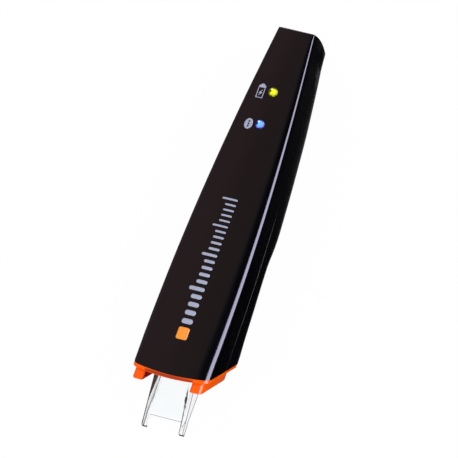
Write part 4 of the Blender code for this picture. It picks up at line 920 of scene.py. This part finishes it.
class PEN_OT_electronics(bpy.types.Operator):
    """Finishes the boards, chips, connectors and the ribbon cable"""

    bl_idname = "pen.electronics"
    bl_label = "Electronics"

    def execute(self, context):
        board = Finish("circuit board", IOR=1.5, Coat_Weight=0.4, Coat_Roughness=0.2)
        track = 1 - board.cracks(0.0016, Randomness=0.35).smooth(0.04, 0.10)
        weave = board.noise(0.0003, 2.0)
        green = board.mixed(weave, (0.006, 0.055, 0.022), (0.010, 0.090, 0.036))
        board.set(
            Base_Color=board.mixed(track, green, (0.022, 0.17, 0.07)),
            Roughness=0.35 + 0.2 * weave,
        )
        board.relief(track + 0.2 * weave, 0.00003)
        dress(BOARDS, board)

        chip = Finish("chip resin", IOR=1.5)
        fleck = chip.noise(0.00018, 3.0)
        chip.set(
            Base_Color=chip.mixed(fleck, (0.012, 0.012, 0.013), (0.030, 0.030, 0.031)),
            Roughness=0.5 + 0.2 * (fleck - 0.5),
        )
        chip.relief(fleck, 0.000012)
        dress(DARK_RESIN, chip)

        nylon = Finish(
            "white nylon", IOR=1.5, Subsurface_Weight=0.1, Subsurface_Radius=(0.001, 0.001, 0.0008),
        )
        cloud = nylon.noise(0.0015, 3.0)
        nylon.set(
            Base_Color=nylon.mixed(cloud, (0.66, 0.64, 0.56), (0.80, 0.79, 0.73)),
            Roughness=0.42 + 0.15 * (cloud - 0.5),
        )
        dress(WHITE_PLASTIC, nylon)

        ribbon = Finish("ribbon film", IOR=1.5, Coat_Weight=0.5, Coat_Roughness=0.1)
        pitch = ribbon.parts(ribbon.places())[0] / 0.0005
        lines = pitch.worked("FRACT", pitch)
        copper = lines.smooth(0.42, 0.5) - lines.smooth(0.92, 1.0)
        ribbon.set(
            Base_Color=ribbon.mixed(copper, (0.35, 0.13, 0.012), (0.62, 0.30, 0.05)),
            Roughness=0.3 + 0.1 * copper,
        )
        dress(["sensor_ribbon"], ribbon)
        return {"FINISHED"}


class PEN_OT_battery(bpy.types.Operator):
    """Finishes the battery cell, its foam pad and its leads"""

    bl_idname = "pen.battery"
    bl_label = "Battery"

    def execute(self, context):
        foil = Finish("battery foil", Metallic=0.85)
        crease = foil.noise(0.004, 5.0, stretch=(1.0, 3.0, 1.0), roughness=0.6)
        foil.set(
            Base_Color=foil.mixed(crease, (0.44, 0.45, 0.47), (0.66, 0.67, 0.69)),
            Roughness=0.28 + 0.25 * crease,
        )
        foil.relief(crease, 0.00012)
        dress(["battery_cell"], foil)

        foam = Finish("foam", IOR=1.3)
        cells = foam.node("ShaderNodeTexVoronoi", "Distance", Vector=foam.places(), Scale=1 / 0.00035)
        foam.set(
            Base_Color=foam.mixed(cells.smooth(0.1, 0.7), (0.012, 0.012, 0.012), (0.055, 0.055, 0.055)),
            Roughness=0.9,
        )
        foam.relief(cells, 0.0001)
        dress(["battery_pad"], foam)

        sleeve = Finish("lead sleeve", IOR=1.5)
        bend = sleeve.noise(0.0008, 2.0)
        sleeve.set(
            Base_Color=sleeve.mixed(bend, (0.36, 0.010, 0.010), (0.52, 0.022, 0.018)),
            Roughness=0.38 + 0.15 * bend,
        )
        dress(LEADS, sleeve)
        return {"FINISHED"}


class PEN_OT_optics(bpy.types.Operator):
    """Finishes the lenses of the scanning optics"""

    bl_idname = "pen.optics"
    bl_label = "Optics"

    def execute(self, context):
        glass = Finish("lens glass", Base_Color=(0.93, 0.97, 0.98), IOR=1.52, Transmission_Weight=1.0)
        haze = glass.noise(0.001, 2.0)
        glass.set(Roughness=0.01 + 0.03 * haze)
        dress(LENSES, glass)
        return {"FINISHED"}


class PEN_OT_metal(bpy.types.Operator):
    """Finishes the screws, the USB socket and the radio shield"""

    bl_idname = "pen.metal"
    bl_label = "Screws and metal"

    def execute(self, context):
        steel = Finish("zinc-plated steel", Metallic=1.0)
        patch = steel.noise(0.0009, 4.0)
        fine = steel.noise(0.0001, 2.0)
        steel.set(
            Base_Color=steel.mixed(patch, (0.50, 0.50, 0.48), (0.70, 0.70, 0.68)),
            Roughness=0.26 + 0.16 * patch,
        )
        steel.relief(fine, 0.000004)
        dress(SCREWS, steel)

        plate = Finish("nickel-plated sheet", Metallic=1.0)
        brushed = plate.noise(0.0004, 4.0, stretch=(1.0, 12.0, 1.0))
        plate.set(
            Base_Color=plate.mixed(brushed, (0.55, 0.54, 0.51), (0.72, 0.71, 0.68)),
            Roughness=0.2 + 0.2 * brushed,
        )
        plate.relief(brushed, 0.000005)
        dress(["usb_shell", "radio_shield"], plate)
        return {"FINISHED"}


def lamp(name, place, towards, size, power, colour=(1.0, 1.0, 1.0), only_gloss=False):
    """A rectangular lamp at place that shines towards a point."""
    data = bpy.data.lights.new(name, "AREA")
    data.shape = "RECTANGLE"
    data.size, data.size_y = size
    data.energy = power
    data.color = colour
    made = bpy.data.objects.new(name, data)
    made.location = place
    made.rotation_euler = (Vector(towards) - Vector(place)).to_track_quat("-Z", "Y").to_euler()
    bpy.context.scene.collection.objects.link(made)
    if only_gloss:
        made.visible_diffuse = False
        made.visible_transmission = False


class PEN_OT_stage(bpy.types.Operator):
    """Sets up the floor, the lamps, the studio's walls and the camera"""

    bl_idname = "pen.stage"
    bl_label = "Stage"

    def execute(self, context):
        stage = context.scene.pen_stage
        self.floor(stage)
        self.lamps(stage)
        self.studio(context, stage)
        self.camera(context, stage)
        context.scene.view_settings.view_transform = "Standard"
        return {"FINISHED"}

    def floor(self, stage):
        """A pale floor that shows nearly white and keeps a faint shadow."""
        bm = bmesh.new()
        bmesh.ops.create_grid(bm, x_segments=2, y_segments=2, size=3.0)
        mesh = bpy.data.meshes.new("floor")
        bm.to_mesh(mesh)
        bm.free()
        finish = Finish("floor paint", Roughness=0.9, Specular_IOR_Level=0.0)
        cloud = finish.noise(0.4, 2.0)
        finish.set(Base_Color=finish.mixed(cloud, shade(stage.floor_colour, 0.995), stage.floor_colour))
        glow = finish.node("ShaderNodeEmission", 0)
        finish.show(finish.blend(stage.floor_glow * finish.rays()[1], finish.own(), glow))
        mesh.materials.append(finish.material)
        made = bpy.data.objects.new("floor", mesh)
        made.visible_glossy = False
        bpy.context.scene.collection.objects.link(made)

    def lamps(self, stage):
        """A large soft lamp in front, and a strip lamp on the right that only glossy surfaces show."""
        lamp("key lamp", place=(0.25, -0.9, 1.2), towards=(0, 0, 0), size=(0.9, 0.9), power=stage.key)
        lamp(
            "strip lamp", place=(0.80, 0.39, 0.46), towards=(0, 0, 0.02), size=(1.1, 0.84),
            power=stage.strip, colour=(0.76, 0.73, 1.0), only_gloss=True,
        )

    def studio(self, context, stage):
        """A white background, even light, and what glossy surfaces mirror of the room."""
        world = bpy.data.worlds.new("studio")
        world.use_nodes = True
        world.node_tree.nodes.clear()
        context.scene.world = world
        nodes = Nodes(world.node_tree)
        plain, seen = nodes.rays()
        place = nodes.node("ShaderNodeTexCoord", "Generated")
        x, y, z = nodes.node("ShaderNodeSeparateXYZ", None, Vector=place)
        # A pale wall all round but for the left, a warm ceiling over the left, and a glow low at the rear
        wall = z.smooth(-0.12, 0.0) * (1 - z.smooth(0.20, 0.34)) * x.smooth(-0.7, -0.45)
        over = (1 - 0.30 * x.smooth(-0.5, -0.12)) * (1 - x.smooth(0.055, 0.125))
        over = over * (0.25 + 0.75 * z.smooth(-0.7, 0.5))
        under = 0.003 * (1 - z.smooth(-0.8, -0.6)) * y.smooth(0.402, 0.435)
        mirrored = 0.003 + wall + stage.ceiling * over + under
        # The even light is a little stronger from the right
        even = stage.ambient * (0.9 + 0.6 * x.smooth(0.0, 1.0))
        strength = plain + (seen - plain) * mirrored + (1 - seen) * even
        warm = (seen - plain) * (over + under * 40).smooth(0.0, 1.0) * (1 - wall.smooth(0.0, 1.0))
        colour = nodes.mixed(warm, (1.0, 1.0, 1.0), (1.0, 0.63, 0.66))
        shown = nodes.node("ShaderNodeBackground", 0, Color=colour, Strength=strength)
        nodes.node("ShaderNodeOutputWorld", None, Surface=shown)

    def camera(self, context, stage):
        """The camera at the photograph's angle."""
        right = Vector(CAMERA_RIGHT).normalized()
        away = Vector(CAMERA_AWAY).normalized()
        up = away.cross(right).normalized()
        right = up.cross(away)
        data = bpy.data.cameras.new("photo camera")
        data.lens = stage.focal_length
        data.sensor_width = 36.0
        data.shift_x, data.shift_y = CAMERA_SHIFT
        data.clip_end = 20.0
        made = bpy.data.objects.new("photo camera", data)
        turn = Matrix((right, up, away)).transposed().to_4x4()
        made.matrix_world = Matrix.Translation(Vector(CAMERA_AIM) + away * stage.camera_distance) @ turn
        context.scene.collection.objects.link(made)
        context.scene.camera = made


STEPS = (
    PEN_OT_case,
    PEN_OT_nose,
    PEN_OT_tip,
    PEN_OT_windows,
    PEN_OT_prints,
    PEN_OT_electronics,
    PEN_OT_battery,
    PEN_OT_optics,
    PEN_OT_metal,
    PEN_OT_stage,
)


class PEN_PT_sidebar(bpy.types.Panel):
    """The pen's operators and settings"""

    bl_idname = "PEN_PT_sidebar"
    bl_label = "Scanning pen"
    bl_space_type = "VIEW_3D"
    bl_region_type = "UI"
    bl_category = "Pen"

    def draw(self, context):
        for step in STEPS:
            self.layout.operator(step.bl_idname)
        for name in ("pen_finish", "pen_print", "pen_stage"):
            group = getattr(context.scene, name)
            box = self.layout.box()
            for key in group.__annotations__:
                box.prop(group, key)


CLASSES = (PenFinish, PenPrint, PenStage, *STEPS, PEN_PT_sidebar)


def register():
    """Registers the classes and gives the scene their settings."""
    for cls in CLASSES:
        bpy.utils.register_class(cls)
    bpy.types.Scene.pen_finish = bpy.props.PointerProperty(type=PenFinish)
    bpy.types.Scene.pen_print = bpy.props.PointerProperty(type=PenPrint)
    bpy.types.Scene.pen_stage = bpy.props.PointerProperty(type=PenStage)


def unregister():
    """Takes the settings and the classes away again."""
    del bpy.types.Scene.pen_stage
    del bpy.types.Scene.pen_print
    del bpy.types.Scene.pen_finish
    for cls in reversed(CLASSES):
        bpy.utils.unregister_class(cls)


def corners(bounds):
    """The two corners of a box, as plain lists."""
    return [list(corner) for corner in bounds]


def main():
    """Runs every operator in order."""
    register()
    for step in STEPS:
        group, name = step.bl_idname.split(".")
        getattr(getattr(bpy.ops, group), name)()


if __name__ == "__main__":
    main()
